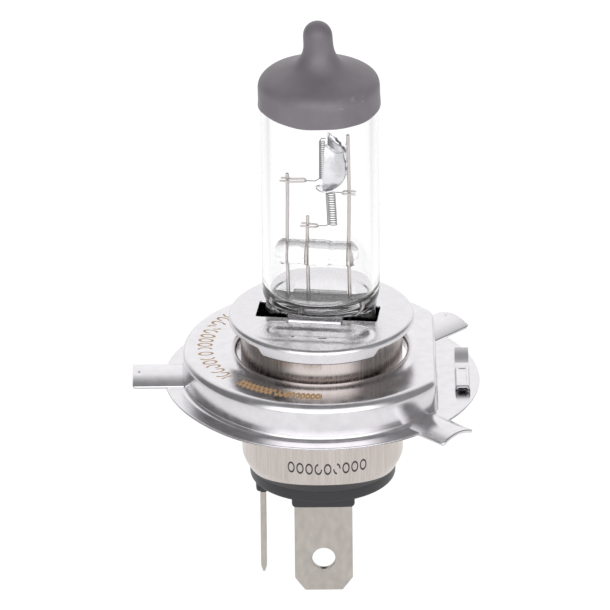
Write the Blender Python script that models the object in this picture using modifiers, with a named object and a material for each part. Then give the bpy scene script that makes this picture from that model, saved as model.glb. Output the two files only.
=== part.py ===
"""Two-filament halogen headlight bulb with a three-lug flange base.

Frame: metres, +Z up towards the glass tip, the bulb's axis on Z, and the
origin on the axis in the plane of the flange's glass-side face, which is the
face that seats in the reflector.  -X is the side of the single lug and of the
low-beam blade, and +X is the side where the flange's ring has its flat.
"""
import math

import bmesh
import bpy
from mathutils import Matrix, Vector

MM = 0.001

# Fits -----------------------------------------------------------------------
FIT_GAP = 0.3 * MM  # between sheet-metal pieces that rest on each other
WELD_GAP = 0.12 * MM  # between wires and foils that are welded on the real bulb
COAT_GAP = 0.08 * MM  # between the glass and the film of coating on it
SEAM = 0.02 * MM  # keeps two joined faces from lying in one plane

# Glass envelope and its coating ---------------------------------------------
GLASS_RADIUS = 8.0 * MM
GLASS_WALL = 1.1 * MM
COAT_WALL = 0.17 * MM
BULB_TOP = 53.5 * MM
SHOULDER_BASE = 44.05 * MM
SHOULDER_SIZE = (2.5 * MM, 1.75 * MM)
SHOULDER_SWEEP = 58.0
CONE_SLOPE = 0.48
NUB_RADIUS = 1.75 * MM
FLARE_RADIUS = 3.55 * MM
FLARE_TOP = 50.9 * MM
COAT_EDGE = 41.35 * MM
TUBE_BASE = 14.6 * MM
TUBE_BASE_ROUND = 3.0 * MM
CAVITY_FLOOR = 13.2 * MM
CAVITY_ROUND = (1.9 * MM, 0.9)  # height of the floor's curve, and the floor's share of the width
PINCH_WIDTH = 15.0 * MM
PINCH_THICKNESS = 3.5 * MM
PINCH_END = -4.5 * MM
PINCH_TURN = -7.3  # degrees that the glass and the holder's slot stand turned on the base

# Wires and filaments --------------------------------------------------------
LEAD_RADIUS = 0.25 * MM
LEAD_X = {"low": -4.55 * MM, "high": -1.76 * MM, "common": 3.87 * MM}
LEAD_TOP = {"low": 30.8 * MM, "high": 24.6 * MM, "common": 36.95 * MM}
ARM_RADIUS = 0.2 * MM
ARM_HEIGHT = {"low": 30.0 * MM, "high": 23.3 * MM, "common": 28.45 * MM}
ARM_END = {"low": -1.9 * MM, "high": -0.3 * MM, "common": 3.0 * MM}
ARM_OVERHANG = 0.85 * MM
COIL_WIRE_RADIUS = 0.09 * MM
LOW_COIL = {"x": 0.2 * MM, "bottom": 30.5 * MM, "top": 36.2 * MM, "radius": 0.45 * MM, "turns": 9}
HIGH_COIL = {"x": 1.5 * MM, "bottom": 23.6 * MM, "top": 28.1 * MM, "radius": 0.6 * MM, "turns": 8}
COIL_HEAD = 0.3 * MM  # from the low coil's last turn to the end of its wire
BAR_RADIUS = 1.8 * MM
BAR_WAIST = (0.86, 0.94)  # share of the radius behind the ends and in the middle
BAR_Z = 19.3 * MM
BAR_OVERHANG = 1.6 * MM
SHIELD_SIZE = (2.9 * MM, 2.5 * MM, 4.0 * MM)
SHIELD_WALL = 0.25 * MM
SHIELD_Z = 32.5 * MM

# Foils in the pinch and the wires below them --------------------------------
FOIL_WIDTH = 2.1 * MM
FOIL_THICKNESS = 0.15 * MM
FOIL_TOP = 6.0 * MM
FOIL_BOTTOM = -1.5 * MM
OUTER_LEAD_RADIUS = 0.3 * MM
OUTER_LEAD_BEND = -6.0 * MM
OUTER_LEAD_STANDOFF = 1.0 * MM  # from the insulator's top face to the bent end

# Flange, ring and lugs ------------------------------------------------------
SHEET = 0.5 * MM
FLANGE_RADIUS = 21.5 * MM
RING_RADIUS = 19.0 * MM
RING_TOP = 5.0 * MM
RING_FILLET = 1.1 * MM
RING_FLAT = 15.5 * MM
RING_CORNER = 2.5 * MM
BORE_CLEARANCE = 0.8 * MM  # between the sleeve and the ring's bore
LIP_DEPTH = 1.4 * MM
WELD_TAB_BOTTOM = 1.2 * MM
WELD_TAB_WIDTH = 4.0 * MM
WELD_TAB_ANGLES = (45.0, 135.0, 225.0, 315.0)
LUG_REACH = 25.8 * MM
LUG_RISE = 0.8 * MM
LUG_WIDTH = {180.0: 7.0 * MM, 45.0: 6.0 * MM, -45.0: 6.0 * MM}
LUG_LIFT = {180.0: 0.8 * MM, 45.0: 0.0, -45.0: 0.0}
BRIDGE_LENGTH = 6.6 * MM
BRIDGE_RISE = 0.6 * MM
STRIP_INNER = 18.1 * MM
STRIP_WIDTH = 1.8 * MM
STRIP_OUTER = STRIP_INNER + STRIP_WIDTH
STRIP_DEPTH = 0.35 * MM
STRIP_EDGE = 0.25 * MM
STRIP_REACH = math.sqrt((FLANGE_RADIUS - 2 * SEAM) ** 2 - (STRIP_OUTER + STRIP_EDGE) ** 2) - STRIP_EDGE

# Base sleeve, holder disc and clamps ----------------------------------------
SLEEVE_RADIUS = 11.0 * MM
SLEEVE_WALL = 0.4 * MM
SLEEVE_FLARE = 0.8 * MM
SLEEVE_BOTTOM = -10.6 * MM
CRIMP_STEP = 1.0 * MM
CRIMP_RADIUS = SLEEVE_RADIUS - CRIMP_STEP
CRIMP_BOTTOM = -12.3 * MM
RING_BORE = SLEEVE_RADIUS + BORE_CLEARANCE
DISC_SHEET = 0.4 * MM
SKIRT_FIT = 0.4 * MM
DISC_RADIUS = SLEEVE_RADIUS + SLEEVE_FLARE + SKIRT_FIT + DISC_SHEET
DISC_TOP = 10.25 * MM
DISC_ROUND = 0.6 * MM
SKIRT_BOTTOM = 8.3 * MM
SKIRT_NOTCH_TOP = 9.3 * MM
SKIRT_TAB = 15.4 * MM
SKIRT_NOTCH_START = 2.2 * MM  # from the disc's middle line to a notch
SLOT_WIDTH = 16.6 * MM
SLOT_X = -0.45 * MM
CLAMP_WIDTH = 7.5 * MM
CLAMP_X = -0.45 * MM
CLAMP_SHEET = 0.35 * MM
CLAMP_TOP = 11.6 * MM
CLAMP_DEPTH = 3.0 * MM
EMBOSS_LENGTH = 12.2 * MM
EMBOSS_WIDTH = 2.6 * MM
EMBOSS_DEPTH = 0.15 * MM
EMBOSS_CENTRE = (-0.3 * MM, -6.8 * MM)

# Insulator and blades -------------------------------------------------------
INSULATOR_STEP = 0.05 * MM
INSULATOR_RADIUS = CRIMP_RADIUS - INSULATOR_STEP
INSULATOR_BOTTOM = -14.0 * MM
INSULATOR_TOP = -10.0 * MM
INSULATOR_ROUND = 0.5 * MM
BOSS_BOTTOM = -15.0 * MM
BOSS_MARGIN = 0.35 * MM
BOSS_DEPTH = (1.3 * MM, 1.0 * MM)
BOSS_CHAMFER = 1.1 * MM
BOSS_ROOT = 0.4 * MM  # how far a boss reaches into the disc
SLOT_FIT = 0.15 * MM
BLADE_WIDTH = 7.9 * MM
BLADE_SHEET = 0.8 * MM
BLADE_END = -28.0 * MM
BLADE_INSET = 1.75 * MM
BLADE_OFFSET = INSULATOR_RADIUS - BLADE_INSET  # from the axis to a blade's middle plane
ROOT_WIDTH = 5.0 * MM
BLADE_CHAMFER = (1.4 * MM, 2.0 * MM)
BLADE_HOLE_RADIUS = 1.6 * MM
BLADE_HOLE_Z = -23.1 * MM
BLADES = {"low": 180.0, "common": -90.0, "high": 90.0}

ROUND_STEPS = 36
MERGE = 0.00001

# Stands a prism up: its outline's x goes to Y, its y to Z, and its length to X
SIDEWAYS = Matrix(((0, 0, 1, 0), (1, 0, 0, 0), (0, 1, 0, 0), (0, 0, 0, 1)))

bodies = bpy.data.collections.new("headlight_bulb")
guides = bpy.data.collections.new("headlight_bulb_cutters")


def clear_scene():
    """Removes what is in the scene, so the script starts from an empty one."""
    for existing in list(bpy.data.objects):
        bpy.data.objects.remove(existing, do_unlink=True)
    bpy.context.scene.collection.children.link(bodies)
    bpy.context.scene.collection.children.link(guides)


def material(name, colour, roughness, metallic=0.0, transmission=0.0):
    made = bpy.data.materials.new(name)
    made.use_nodes = True
    shader = made.node_tree.nodes["Principled BSDF"]
    shader.inputs["Base Color"].default_value = (*colour, 1.0)
    shader.inputs["Roughness"].default_value = roughness
    shader.inputs["Metallic"].default_value = metallic
    shader.inputs["Transmission Weight"].default_value = transmission
    made.diffuse_color = (*colour, 1.0)
    return made


def add_mesh(name, mesh, finish=None):
    """An object in the part's collection, or a hidden guide when it has no finish."""
    made = bpy.data.objects.new(name, mesh)
    if finish is None:
        guides.objects.link(made)
        made.hide_render = True
        made.display_type = "WIRE"
    else:
        bodies.objects.link(made)
        mesh.materials.append(finish)
    return made


def shade(made, angle=35.0):
    made.data.shade_smooth()
    made.data.set_sharp_from_angle(angle=math.radians(angle))


def turned(name, profile, finish=None, steps=ROUND_STEPS):
    """A profile of (radius, height) points, outer side top to bottom, turned about Z.

    A profile that starts and ends off the axis is a closed loop.
    """
    count = len(profile)
    edges = [(i, i + 1) for i in range(count - 1)]
    if profile[0][0] > 0:
        edges.append((count - 1, 0))
    mesh = bpy.data.meshes.new(name)
    mesh.from_pydata([(radius, 0.0, height) for radius, height in profile], edges, [])
    made = add_mesh(name, mesh, finish)
    screw = made.modifiers.new("Turn", "SCREW")
    screw.axis = "Z"
    screw.steps = steps
    screw.render_steps = steps
    screw.use_merge_vertices = True
    screw.merge_threshold = MERGE
    screw.use_smooth_shade = True
    return made


def prism(name, outline, low, high, finish=None, round_top=0.0, segments=3):
    """A flat outline of (x, y) points, anticlockwise, drawn up from low to high."""
    mesh = bpy.data.meshes.new(name)
    shape = bmesh.new()
    corners = [shape.verts.new((x, y, low)) for x, y in outline]
    floor = shape.faces.new(corners)
    lifted = bmesh.ops.extrude_face_region(shape, geom=[floor])
    top = [item for item in lifted["geom"] if isinstance(item, bmesh.types.BMVert)]
    bmesh.ops.translate(shape, verts=top, vec=(0, 0, high - low))
    bmesh.ops.recalc_face_normals(shape, faces=shape.faces[:])
    if round_top > 0:
        rim = [edge for edge in shape.edges if all(vert in top for vert in edge.verts)]
        bmesh.ops.bevel(
            shape, geom=rim, offset=round_top, segments=segments, profile=0.5, affect="EDGES"
        )
    shape.to_mesh(mesh)
    shape.free()
    return add_mesh(name, mesh, finish)


def box(name, low, high, finish=None):
    """A cube primitive between two corners."""
    mesh = bpy.data.meshes.new(name)
    shape = bmesh.new()
    bmesh.ops.create_cube(shape, size=1.0)
    size = Vector(high) - Vector(low)
    bmesh.ops.scale(shape, vec=size, verts=shape.verts[:])
    bmesh.ops.translate(shape, vec=Vector(low) + size / 2, verts=shape.verts[:])
    shape.to_mesh(mesh)
    shape.free()
    return add_mesh(name, mesh, finish)


def rod(name, radius, start, end, steps=16):
    """A round cutter from start to end."""
    start, end = Vector(start), Vector(end)
    mesh = bpy.data.meshes.new(name)
    shape = bmesh.new()
    bmesh.ops.create_cone(
        shape, cap_ends=True, segments=steps, radius1=radius, radius2=radius, depth=(end - start).length
    )
    turn = (end - start).to_track_quat("Z", "Y").to_matrix().to_4x4()
    bmesh.ops.transform(shape, matrix=Matrix.Translation((start + end) / 2) @ turn, verts=shape.verts[:])
    shape.to_mesh(mesh)
    shape.free()
    return add_mesh(name, mesh)


def boolean(target, other, operation):
    step = target.modifiers.new(f"{operation.title()} {other.name}", "BOOLEAN")
    step.object = other
    step.operation = operation
    step.solver = "EXACT"
    return target


def cut(target, *others):
    for other in others:
        boolean(target, other, "DIFFERENCE")
    return target


def join(target, *others):
    for other in others:
        boolean(target, other, "UNION")
    return target


def wire(name, points, radius, finish, sides=2):
    """A round wire with filled ends along a list of points."""
    curve = bpy.data.curves.new(name, "CURVE")
    curve.dimensions = "3D"
    curve.bevel_depth = radius
    curve.bevel_resolution = sides
    curve.use_fill_caps = True
    line = curve.splines.new("POLY")
    line.points.add(len(points) - 1)
    for place, point in zip(line.points, points):
        place.co = (*point, 1.0)
    curve.materials.append(finish)
    made = bpy.data.objects.new(name, curve)
    bodies.objects.link(made)
    return made


def arc(centre, radii, start, end, count):
    """Points on an ellipse's arc, from one angle to another in degrees."""
    angles = [math.radians(start + (end - start) * i / count) for i in range(count + 1)]
    return [(centre[0] + radii[0] * math.cos(a), centre[1] + radii[1] * math.sin(a)) for a in angles]


# Glass ----------------------------------------------------------------------
def dome_profile(grow=0.0):
    """The bulb's outside from the tip to the shoulder's foot, moved outwards by a distance.

    A round nub flares out in a cubic curve to a low cone, whose edge turns down in an
    elliptic shoulder.  The points are moved along the curve's own normal.
    """
    wide = SHOULDER_SIZE[0]
    tip = BULB_TOP - COAT_GAP - COAT_WALL
    shoulder = arc((GLASS_RADIUS - wide, SHOULDER_BASE), SHOULDER_SIZE, SHOULDER_SWEEP, 0.0, 5)
    cone_radius, cone_height = shoulder[0]
    flare_height = cone_height + CONE_SLOPE * (cone_radius - FLARE_RADIUS)
    points = arc((0.0, tip - NUB_RADIUS), (NUB_RADIUS, NUB_RADIUS), 90.0, 0.0, 5)
    for share in (0.0, 0.3, 0.5, 0.68, 0.84, 1.0):
        height = FLARE_TOP + share * (flare_height - FLARE_TOP)
        points.append((NUB_RADIUS + (FLARE_RADIUS - NUB_RADIUS) * share**3, height))
    points += shoulder
    moved = [(0.0, tip + grow)]
    for (r0, z0), (r1, z1), (r2, z2) in zip(points, points[1:], points[2:]):
        along = Vector((r2 - r0, z2 - z0)).normalized()
        moved.append((r1 - grow * along.y, z1 + grow * along.x))
    moved.append((GLASS_RADIUS + grow, SHOULDER_BASE))
    return moved


def glass_bulb(glass):
    """Quartz tube, domed and nubbed at the top and pressed flat below into the pinch."""
    foot = arc((0.0, TUBE_BASE), (GLASS_RADIUS, TUBE_BASE_ROUND), 0.0, -90.0, 6)
    foot[-1] = (0.0, TUBE_BASE - TUBE_BASE_ROUND)
    body = turned("glass_bulb", dome_profile() + foot, glass)
    half_x, half_y = PINCH_WIDTH / 2, PINCH_THICKNESS / 2
    pinch = box("pinch_block", (-half_x, -half_y, PINCH_END), (half_x, half_y, CAVITY_FLOOR))
    join(body, pinch)
    inner = GLASS_RADIUS - GLASS_WALL
    roof = arc((inner - SHOULDER_SIZE[0], SHOULDER_BASE - GLASS_WALL), SHOULDER_SIZE, SHOULDER_SWEEP, 0.0, 5)
    roof.insert(0, (0.0, roof[0][1] + CONE_SLOPE * roof[0][0] - GLASS_WALL))
    curve, share = CAVITY_ROUND
    floor = [(inner, CAVITY_FLOOR + curve), (inner * share, CAVITY_FLOOR), (0.0, CAVITY_FLOOR)]
    cut(body, turned("cavity", roof + floor))
    for name, x in LEAD_X.items():
        top = rod(f"channel_{name}", LEAD_RADIUS + WELD_GAP, (x, 0, FOIL_TOP), (x, 0, CAVITY_FLOOR + MM))
        half = FOIL_WIDTH / 2 + WELD_GAP
        thick = FOIL_THICKNESS / 2 + WELD_GAP
        pocket = box(
            f"foil_pocket_{name}",
            (x - half, -thick, FOIL_BOTTOM - 2 * WELD_GAP),
            (x + half, thick, FOIL_TOP + 2 * WELD_GAP),
        )
        tail = rod(
            f"tail_channel_{name}", OUTER_LEAD_RADIUS + WELD_GAP, (x, 0, PINCH_END - MM), (x, 0, FOIL_BOTTOM)
        )
        cut(body, top, pocket, tail)
    return body


def top_coating(paint):
    """Opaque film over the dome, the nub and the first few millimetres of the tube."""
    outer = dome_profile(COAT_GAP + COAT_WALL)
    inner = dome_profile(COAT_GAP)
    outer.append((outer[-1][0], COAT_EDGE))
    inner.append((inner[-1][0], COAT_EDGE))
    return turned("top_coating", outer + inner[::-1], paint)


# Wires inside the glass -----------------------------------------------------
def inner_lead(name, metal):
    x = LEAD_X[name]
    return wire(f"lead_{name}", [(x, 0, LEAD_TOP[name]), (x, 0, FOIL_TOP + 2 * WELD_GAP)], LEAD_RADIUS, metal)


def hairpin_arm(name, metal):
    """A wire hairpin gripping its lead: the closed end faces the filament, the free ends stick out."""
    x, z, end = LEAD_X[name], ARM_HEIGHT[name], ARM_END[name]
    bend = LEAD_RADIUS + ARM_RADIUS + WELD_GAP
    side = math.copysign(1.0, end - x)
    free = x - side * ARM_OVERHANG
    turn = arc((end - side * bend, 0.0), (side * bend, bend), -90.0, 90.0, 8)
    points = [(free, -bend, z)] + [(px, py, z) for px, py in turn] + [(free, bend, z)]
    return wire(f"arm_{name}", points, ARM_RADIUS, metal)


def coil(name, sizes, foot, head, metal):
    """A single-layer coil with a straight leg at each end, from foot to head."""
    per_turn = 8
    count = sizes["turns"] * per_turn
    rise = (sizes["top"] - sizes["bottom"]) / count
    points = [foot]
    for i in range(count + 1):
        angle = 2 * math.pi * i / per_turn
        points.append((
            sizes["x"] - sizes["radius"] * math.cos(angle),
            sizes["radius"] * math.sin(angle),
            sizes["bottom"] + rise * i,
        ))
    points.append(head)
    return wire(name, points, COIL_WIRE_RADIUS, metal)


def filaments(metal):
    """Two upright coils, each with its lower leg out to the closed end of its hairpin arm."""
    reach = COIL_WIRE_RADIUS + ARM_RADIUS + WELD_GAP
    low_foot = (ARM_END["low"] + reach, 0.0, ARM_HEIGHT["low"])
    low_head = (LOW_COIL["x"] + LOW_COIL["radius"], 0.0, LOW_COIL["top"] + COIL_HEAD)
    coil("low_beam_filament", LOW_COIL, low_foot, low_head, metal)
    high_foot = (ARM_END["high"] + reach, 0.0, ARM_HEIGHT["high"])
    high_head = (ARM_END["common"] - reach, 0.0, ARM_HEIGHT["common"])
    coil("high_beam_filament", HIGH_COIL, high_foot, high_head, metal)


def beam_shield(metal):
    """Half of an egg-shaped cup, open towards the low-beam coil, with its top cut level."""
    mesh = bpy.data.meshes.new("beam_shield")
    shape = bmesh.new()
    bmesh.ops.create_uvsphere(shape, u_segments=16, v_segments=12, radius=1.0)
    bmesh.ops.scale(shape, vec=SHIELD_SIZE, verts=shape.verts[:])
    bmesh.ops.bisect_plane(
        shape,
        geom=shape.verts[:] + shape.edges[:] + shape.faces[:],
        plane_co=(0, 0, 0),
        plane_no=(-1, 0, 0),
        clear_outer=True,
    )
    bmesh.ops.bisect_plane(
        shape,
        geom=shape.verts[:] + shape.edges[:] + shape.faces[:],
        plane_co=(0, 0, SHIELD_SIZE[2] * 0.93),
        plane_no=(0, 0, 1),
        clear_outer=True,
    )
    back = LEAD_X["common"] - LEAD_RADIUS - WELD_GAP
    bmesh.ops.translate(shape, vec=(back - SHIELD_SIZE[0], 0, SHIELD_Z), verts=shape.verts[:])
    shape.to_mesh(mesh)
    shape.free()
    made = add_mesh("beam_shield", mesh, metal)
    wall = made.modifiers.new("Wall", "SOLIDIFY")
    wall.thickness = SHIELD_WALL
    wall.offset = -1.0
    shade(made)
    return made


def bridge_bar(glass):
    """Quartz rod fused across the three leads, with a rounded lump at each end."""
    left = LEAD_X["low"] - BAR_OVERHANG
    right = LEAD_X["common"] + BAR_OVERHANG
    half = (right - left) / 2
    end = BAR_RADIUS
    profile = arc((0.0, half - end), (BAR_RADIUS, end), 90.0, 0.0, 5)
    profile += [(BAR_RADIUS * BAR_WAIST[0], half - 2 * end), (BAR_RADIUS * BAR_WAIST[1], 0.0)]
    profile += [(radius, -height) for radius, height in profile[-2::-1]]
    profile[0] = (0.0, half)
    profile[-1] = (0.0, -half)
    made = turned("bridge_bar", profile, glass, steps=16)
    made.rotation_euler = (0.0, math.pi / 2, 0.0)
    made.location = ((left + right) / 2, 0.0, BAR_Z)
    for name, x in LEAD_X.items():
        low, high = BAR_Z - 2 * BAR_RADIUS, BAR_Z + 2 * BAR_RADIUS
        cut(made, rod(f"bar_hole_{name}", LEAD_RADIUS + WELD_GAP, (x, 0, low), (x, 0, high)))
    return made


def turned_glass():
    """The turn about the axis in which the glass stands on the base."""
    return Matrix.Rotation(math.radians(PINCH_TURN), 4, "Z")


def turn_all_built():
    """Turns every piece and cutter made so far with the glass."""
    bpy.context.view_layer.update()
    for made in list(bodies.objects) + list(guides.objects):
        made.matrix_world = turned_glass() @ made.matrix_world


# Foils and wires under the glass --------------------------------------------
def pinch_foil(name, metal):
    x = LEAD_X[name]
    half, thick = FOIL_WIDTH / 2, FOIL_THICKNESS / 2
    return box(f"foil_{name}", (x - half, -thick, FOIL_BOTTOM), (x + half, thick, FOIL_TOP), metal)


def outer_lead(name, metal):
    """From the foil's end straight down, then out to the inner face of its blade."""
    x = LEAD_X[name]
    angle = math.radians(BLADES[name])
    face = BLADE_OFFSET - BLADE_SHEET / 2 - OUTER_LEAD_RADIUS - WELD_GAP
    goal = Vector((face * math.cos(angle), face * math.sin(angle), 0.0))
    start = turned_glass() @ Vector((x, 0.0, 0.0))
    points = [(start.x, start.y, FOIL_BOTTOM - WELD_GAP), (start.x, start.y, OUTER_LEAD_BEND)]
    end_z = INSULATOR_TOP + OUTER_LEAD_STANDOFF
    for i in range(1, 9):
        share = i / 8
        ease = share * share * (3 - 2 * share)
        place = start.lerp(goal, ease)
        place.z = OUTER_LEAD_BEND + (end_z - OUTER_LEAD_BEND) * share
        points.append(place)
    return wire(f"outer_lead_{name}", points, OUTER_LEAD_RADIUS, metal)


# Base metalwork -------------------------------------------------------------
def ring_outline(inset):
    """The ring seen from above: a circle with one flat and rounded corners, offset inwards."""
    radius, flat, corner = RING_RADIUS - inset, RING_FLAT - inset, RING_CORNER - inset
    centre_y = math.sqrt((RING_RADIUS - RING_CORNER) ** 2 - (RING_FLAT - RING_CORNER) ** 2)
    lean = math.degrees(math.atan2(centre_y, RING_FLAT - RING_CORNER))
    round_side = arc((0.0, 0.0), (radius, radius), lean, 360.0 - lean, 40)
    low_corner = arc((RING_FLAT - RING_CORNER, -centre_y), (corner, corner), -lean, 0.0, 4)
    high_corner = arc((RING_FLAT - RING_CORNER, centre_y), (corner, corner), 0.0, lean, 4)
    return round_side + low_corner[1:] + high_corner[:-1]


def lug(angle):
    """A tongue of the flange, arched across its width, its edges in the flange's plane or lifted."""
    half = LUG_WIDTH[angle] / 2
    bow = (half * half + LUG_RISE * LUG_RISE) / (2 * LUG_RISE)
    spread = math.degrees(math.asin(half / bow))
    centre = LUG_LIFT[angle] + LUG_RISE - bow
    outer = arc((0.0, centre), (bow, bow), 90.0 - spread, 90.0 + spread, 8)
    inner = arc((0.0, centre), (bow - SHEET, bow - SHEET), 90.0 + spread, 90.0 - spread, 8)
    made = prism(f"lug_{int(angle)}", outer + inner, RING_RADIUS - SHEET / 2, LUG_REACH)
    made.matrix_world = Matrix.Rotation(math.radians(angle), 4, "Z") @ SIDEWAYS
    return made


def flange_ring(metal):
    """One pressing: flange disc and lugs, raised ring with a flat, and the collar in its bore."""
    disc = [(FLANGE_RADIUS, 0.0), (FLANGE_RADIUS, -SHEET), (0.0, -SHEET)]
    made = turned("flange_ring", [(0.0, 0.0)] + disc, metal, steps=54)
    join(made, prism("ring_outside", ring_outline(0.0), -SHEET, RING_TOP, round_top=RING_FILLET))
    join(made, *[lug(angle) for angle in LUG_WIDTH])
    under = prism(
        "ring_inside", ring_outline(SHEET), -4 * SHEET, RING_TOP - SHEET, round_top=RING_FILLET - SHEET
    )
    cut(made, under)
    crest = RING_BORE + SHEET
    bore = [(0, RING_TOP + MM), (crest, RING_TOP + MM), (crest, -MM), (0, -MM)]
    cut(made, turned("ring_bore", bore))
    top, low = RING_TOP - SEAM, RING_TOP - LIP_DEPTH
    lip = arc((crest, top - SHEET), (SHEET, SHEET), 180.0, 90.0, 4)
    skirt = [(crest + SHEET, top), (crest + SHEET, low + SHEET), (crest, low), (RING_BORE, low)]
    join(made, turned("bore_lip", skirt + lip))
    for angle in WELD_TAB_ANGLES:
        join(made, weld_tab(angle))
    return finish_bridge(made)


def weld_tab(angle):
    """A tongue bent down and in from the bore's lip until it lies on the sleeve."""
    seat = SLEEVE_RADIUS + FIT_GAP
    low, bend = WELD_TAB_BOTTOM, RING_TOP - LIP_DEPTH + SHEET / 3
    inner, outer = RING_BORE + 2 * SEAM, RING_BORE + SHEET - 2 * SEAM
    outline = [
        (outer, bend + SHEET),
        (inner, bend + SHEET),
        (inner, bend),
        (seat, bend - 2 * SHEET),
        (seat, low),
        (seat + SHEET, low),
        (seat + SHEET, bend - 2 * SHEET),
        (outer, bend),
    ]
    made = prism(f"weld_tab_{int(angle)}", outline, -WELD_TAB_WIDTH / 2, WELD_TAB_WIDTH / 2)
    made.matrix_world = Matrix.Rotation(math.radians(angle), 4, "Z") @ SIDEWAYS
    return made


def finish_bridge(made):
    """The pressed strip beside the ring's flat: a raised bridge between two shallow recesses."""
    low = (STRIP_INNER - STRIP_EDGE, -STRIP_REACH - STRIP_EDGE, -SHEET - STRIP_DEPTH)
    high = (STRIP_OUTER + STRIP_EDGE, STRIP_REACH + STRIP_EDGE, -SHEET / 2)
    join(made, box("strip_back", low, high))
    low = (STRIP_INNER, -STRIP_REACH, -STRIP_DEPTH)
    cut(made, box("strip_recess", low, (STRIP_OUTER, STRIP_REACH, MM)))
    half = BRIDGE_LENGTH / 2
    bow = (half**2 + BRIDGE_RISE**2) / (2 * BRIDGE_RISE)
    spread = math.degrees(math.asin(half / bow))
    hump = arc((0.0, BRIDGE_RISE - bow), (bow, bow), 90.0 - spread, 90.0 + spread, 8)
    hump += [(-half, -1.5 * STRIP_DEPTH), (half, -1.5 * STRIP_DEPTH)]
    bridge = prism("bridge", hump, STRIP_INNER - STRIP_EDGE / 2, STRIP_OUTER + STRIP_EDGE / 2)
    bridge.matrix_world = SIDEWAYS
    return join(made, bridge)


def base_shell(metal):
    """Drawn sleeve: flared under the holder disc and crimped in under the insulator's rim."""
    flare = SLEEVE_RADIUS + SLEEVE_FLARE
    top = DISC_TOP - DISC_SHEET - FIT_GAP
    outer = [
        (flare, top),
        (flare, top - SLEEVE_WALL),
        (SLEEVE_RADIUS, top - SLEEVE_WALL - SLEEVE_FLARE / 2),
        (SLEEVE_RADIUS, SLEEVE_BOTTOM),
        (CRIMP_RADIUS, CRIMP_BOTTOM),
    ]
    inner = [
        (CRIMP_RADIUS - SLEEVE_WALL, CRIMP_BOTTOM),
        (SLEEVE_RADIUS - SLEEVE_WALL, SLEEVE_BOTTOM),
        (SLEEVE_RADIUS - SLEEVE_WALL, top),
    ]
    return turned("base_shell", outer + inner, metal)


def holder_disc(metal):
    """Pressed cap on the sleeve, slotted for the pinch, its skirt notched into tabs."""
    rim = arc((DISC_RADIUS - DISC_ROUND, DISC_TOP - DISC_ROUND), (DISC_ROUND, DISC_ROUND), 90.0, 0.0, 4)
    core = DISC_ROUND - DISC_SHEET
    under = arc((DISC_RADIUS - DISC_ROUND, DISC_TOP - DISC_ROUND), (core, core), 0.0, 90.0, 2)
    skirt = [(DISC_RADIUS, SKIRT_BOTTOM), (DISC_RADIUS - DISC_SHEET, SKIRT_BOTTOM)]
    profile = [(0.0, DISC_TOP)] + rim + skirt + under + [(0.0, DISC_TOP - DISC_SHEET)]
    made = turned("holder_disc", profile, metal)
    depth = PINCH_THICKNESS / 2 + CLAMP_SHEET + 2 * FIT_GAP
    low, high = SLOT_X - SLOT_WIDTH / 2, SLOT_X + SLOT_WIDTH / 2
    slot = box("pinch_slot", (low, -depth, 0.0), (high, depth, CLAMP_TOP))
    slot.matrix_world = turned_glass()
    cut(made, slot)
    reach = DISC_RADIUS + MM
    for side_x in (-1, 1):
        for side_y in (-1, 1):
            low_x, high_x = sorted((side_x * SKIRT_TAB / 2, side_x * reach))
            low_y, high_y = sorted((side_y * SKIRT_NOTCH_START, side_y * reach))
            name = f"skirt_notch_{side_x}_{side_y}"
            low = (low_x, low_y, SKIRT_BOTTOM - MM)
            cut(made, box(name, low, (high_x, high_y, SKIRT_NOTCH_TOP)))
    half, width = EMBOSS_LENGTH / 2 - EMBOSS_WIDTH / 2, EMBOSS_WIDTH / 2
    pill = arc((half, 0.0), (width, width), -90.0, 90.0, 8)
    pill += arc((-half, 0.0), (width, width), 90.0, 270.0, 8)
    centre_x, centre_y = EMBOSS_CENTRE
    pill = [(x + centre_x, y + centre_y) for x, y in pill]
    emboss = prism("emboss", pill, DISC_TOP - EMBOSS_DEPTH, DISC_TOP + MM)
    emboss.matrix_world = turned_glass()
    return cut(made, emboss)


def pinch_clamp(name, side, metal):
    """Spring tongue: a foot under the holder disc and an upright leg against the pinch."""
    inner = PINCH_THICKNESS / 2 + FIT_GAP
    foot_top = DISC_TOP - DISC_SHEET - FIT_GAP
    outline = [
        (inner, CLAMP_TOP),
        (inner, foot_top - CLAMP_SHEET - MM),
        (inner + CLAMP_SHEET, foot_top - CLAMP_SHEET - MM),
        (inner + CLAMP_SHEET, foot_top - CLAMP_SHEET),
        (inner + CLAMP_DEPTH, foot_top - CLAMP_SHEET),
        (inner + CLAMP_DEPTH, foot_top),
        (inner + CLAMP_SHEET, foot_top),
        (inner + CLAMP_SHEET, CLAMP_TOP),
    ]
    made = prism(name, outline, -CLAMP_WIDTH / 2, CLAMP_WIDTH / 2, metal)
    turn = Matrix.Rotation(0.0 if side > 0 else math.pi, 4, "Z")
    made.matrix_world = turned_glass() @ Matrix.Translation((CLAMP_X, 0, 0)) @ turn @ SIDEWAYS
    return made


# Insulator and blades -------------------------------------------------------
def blade_cutter(name, width, thickness, low, high):
    """A box where a blade stands, before it is turned to its place round the axis."""
    near, far = BLADE_OFFSET - thickness / 2, BLADE_OFFSET + thickness / 2
    return box(name, (near, -width / 2, low), (far, width / 2, high))


def boss_outline():
    """A boss seen along the axis: a strip as wide as a blade, its outer corners cut off."""
    half = BLADE_WIDTH / 2 + BOSS_MARGIN
    inner, outer = BLADE_OFFSET - BOSS_DEPTH[0], BLADE_OFFSET + BOSS_DEPTH[1]
    cut_in = half - BOSS_CHAMFER
    corner = outer - BOSS_CHAMFER / 2
    return [(inner, -half), (corner, -half), (outer, -cut_in), (outer, cut_in), (corner, half), (inner, half)]


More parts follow.
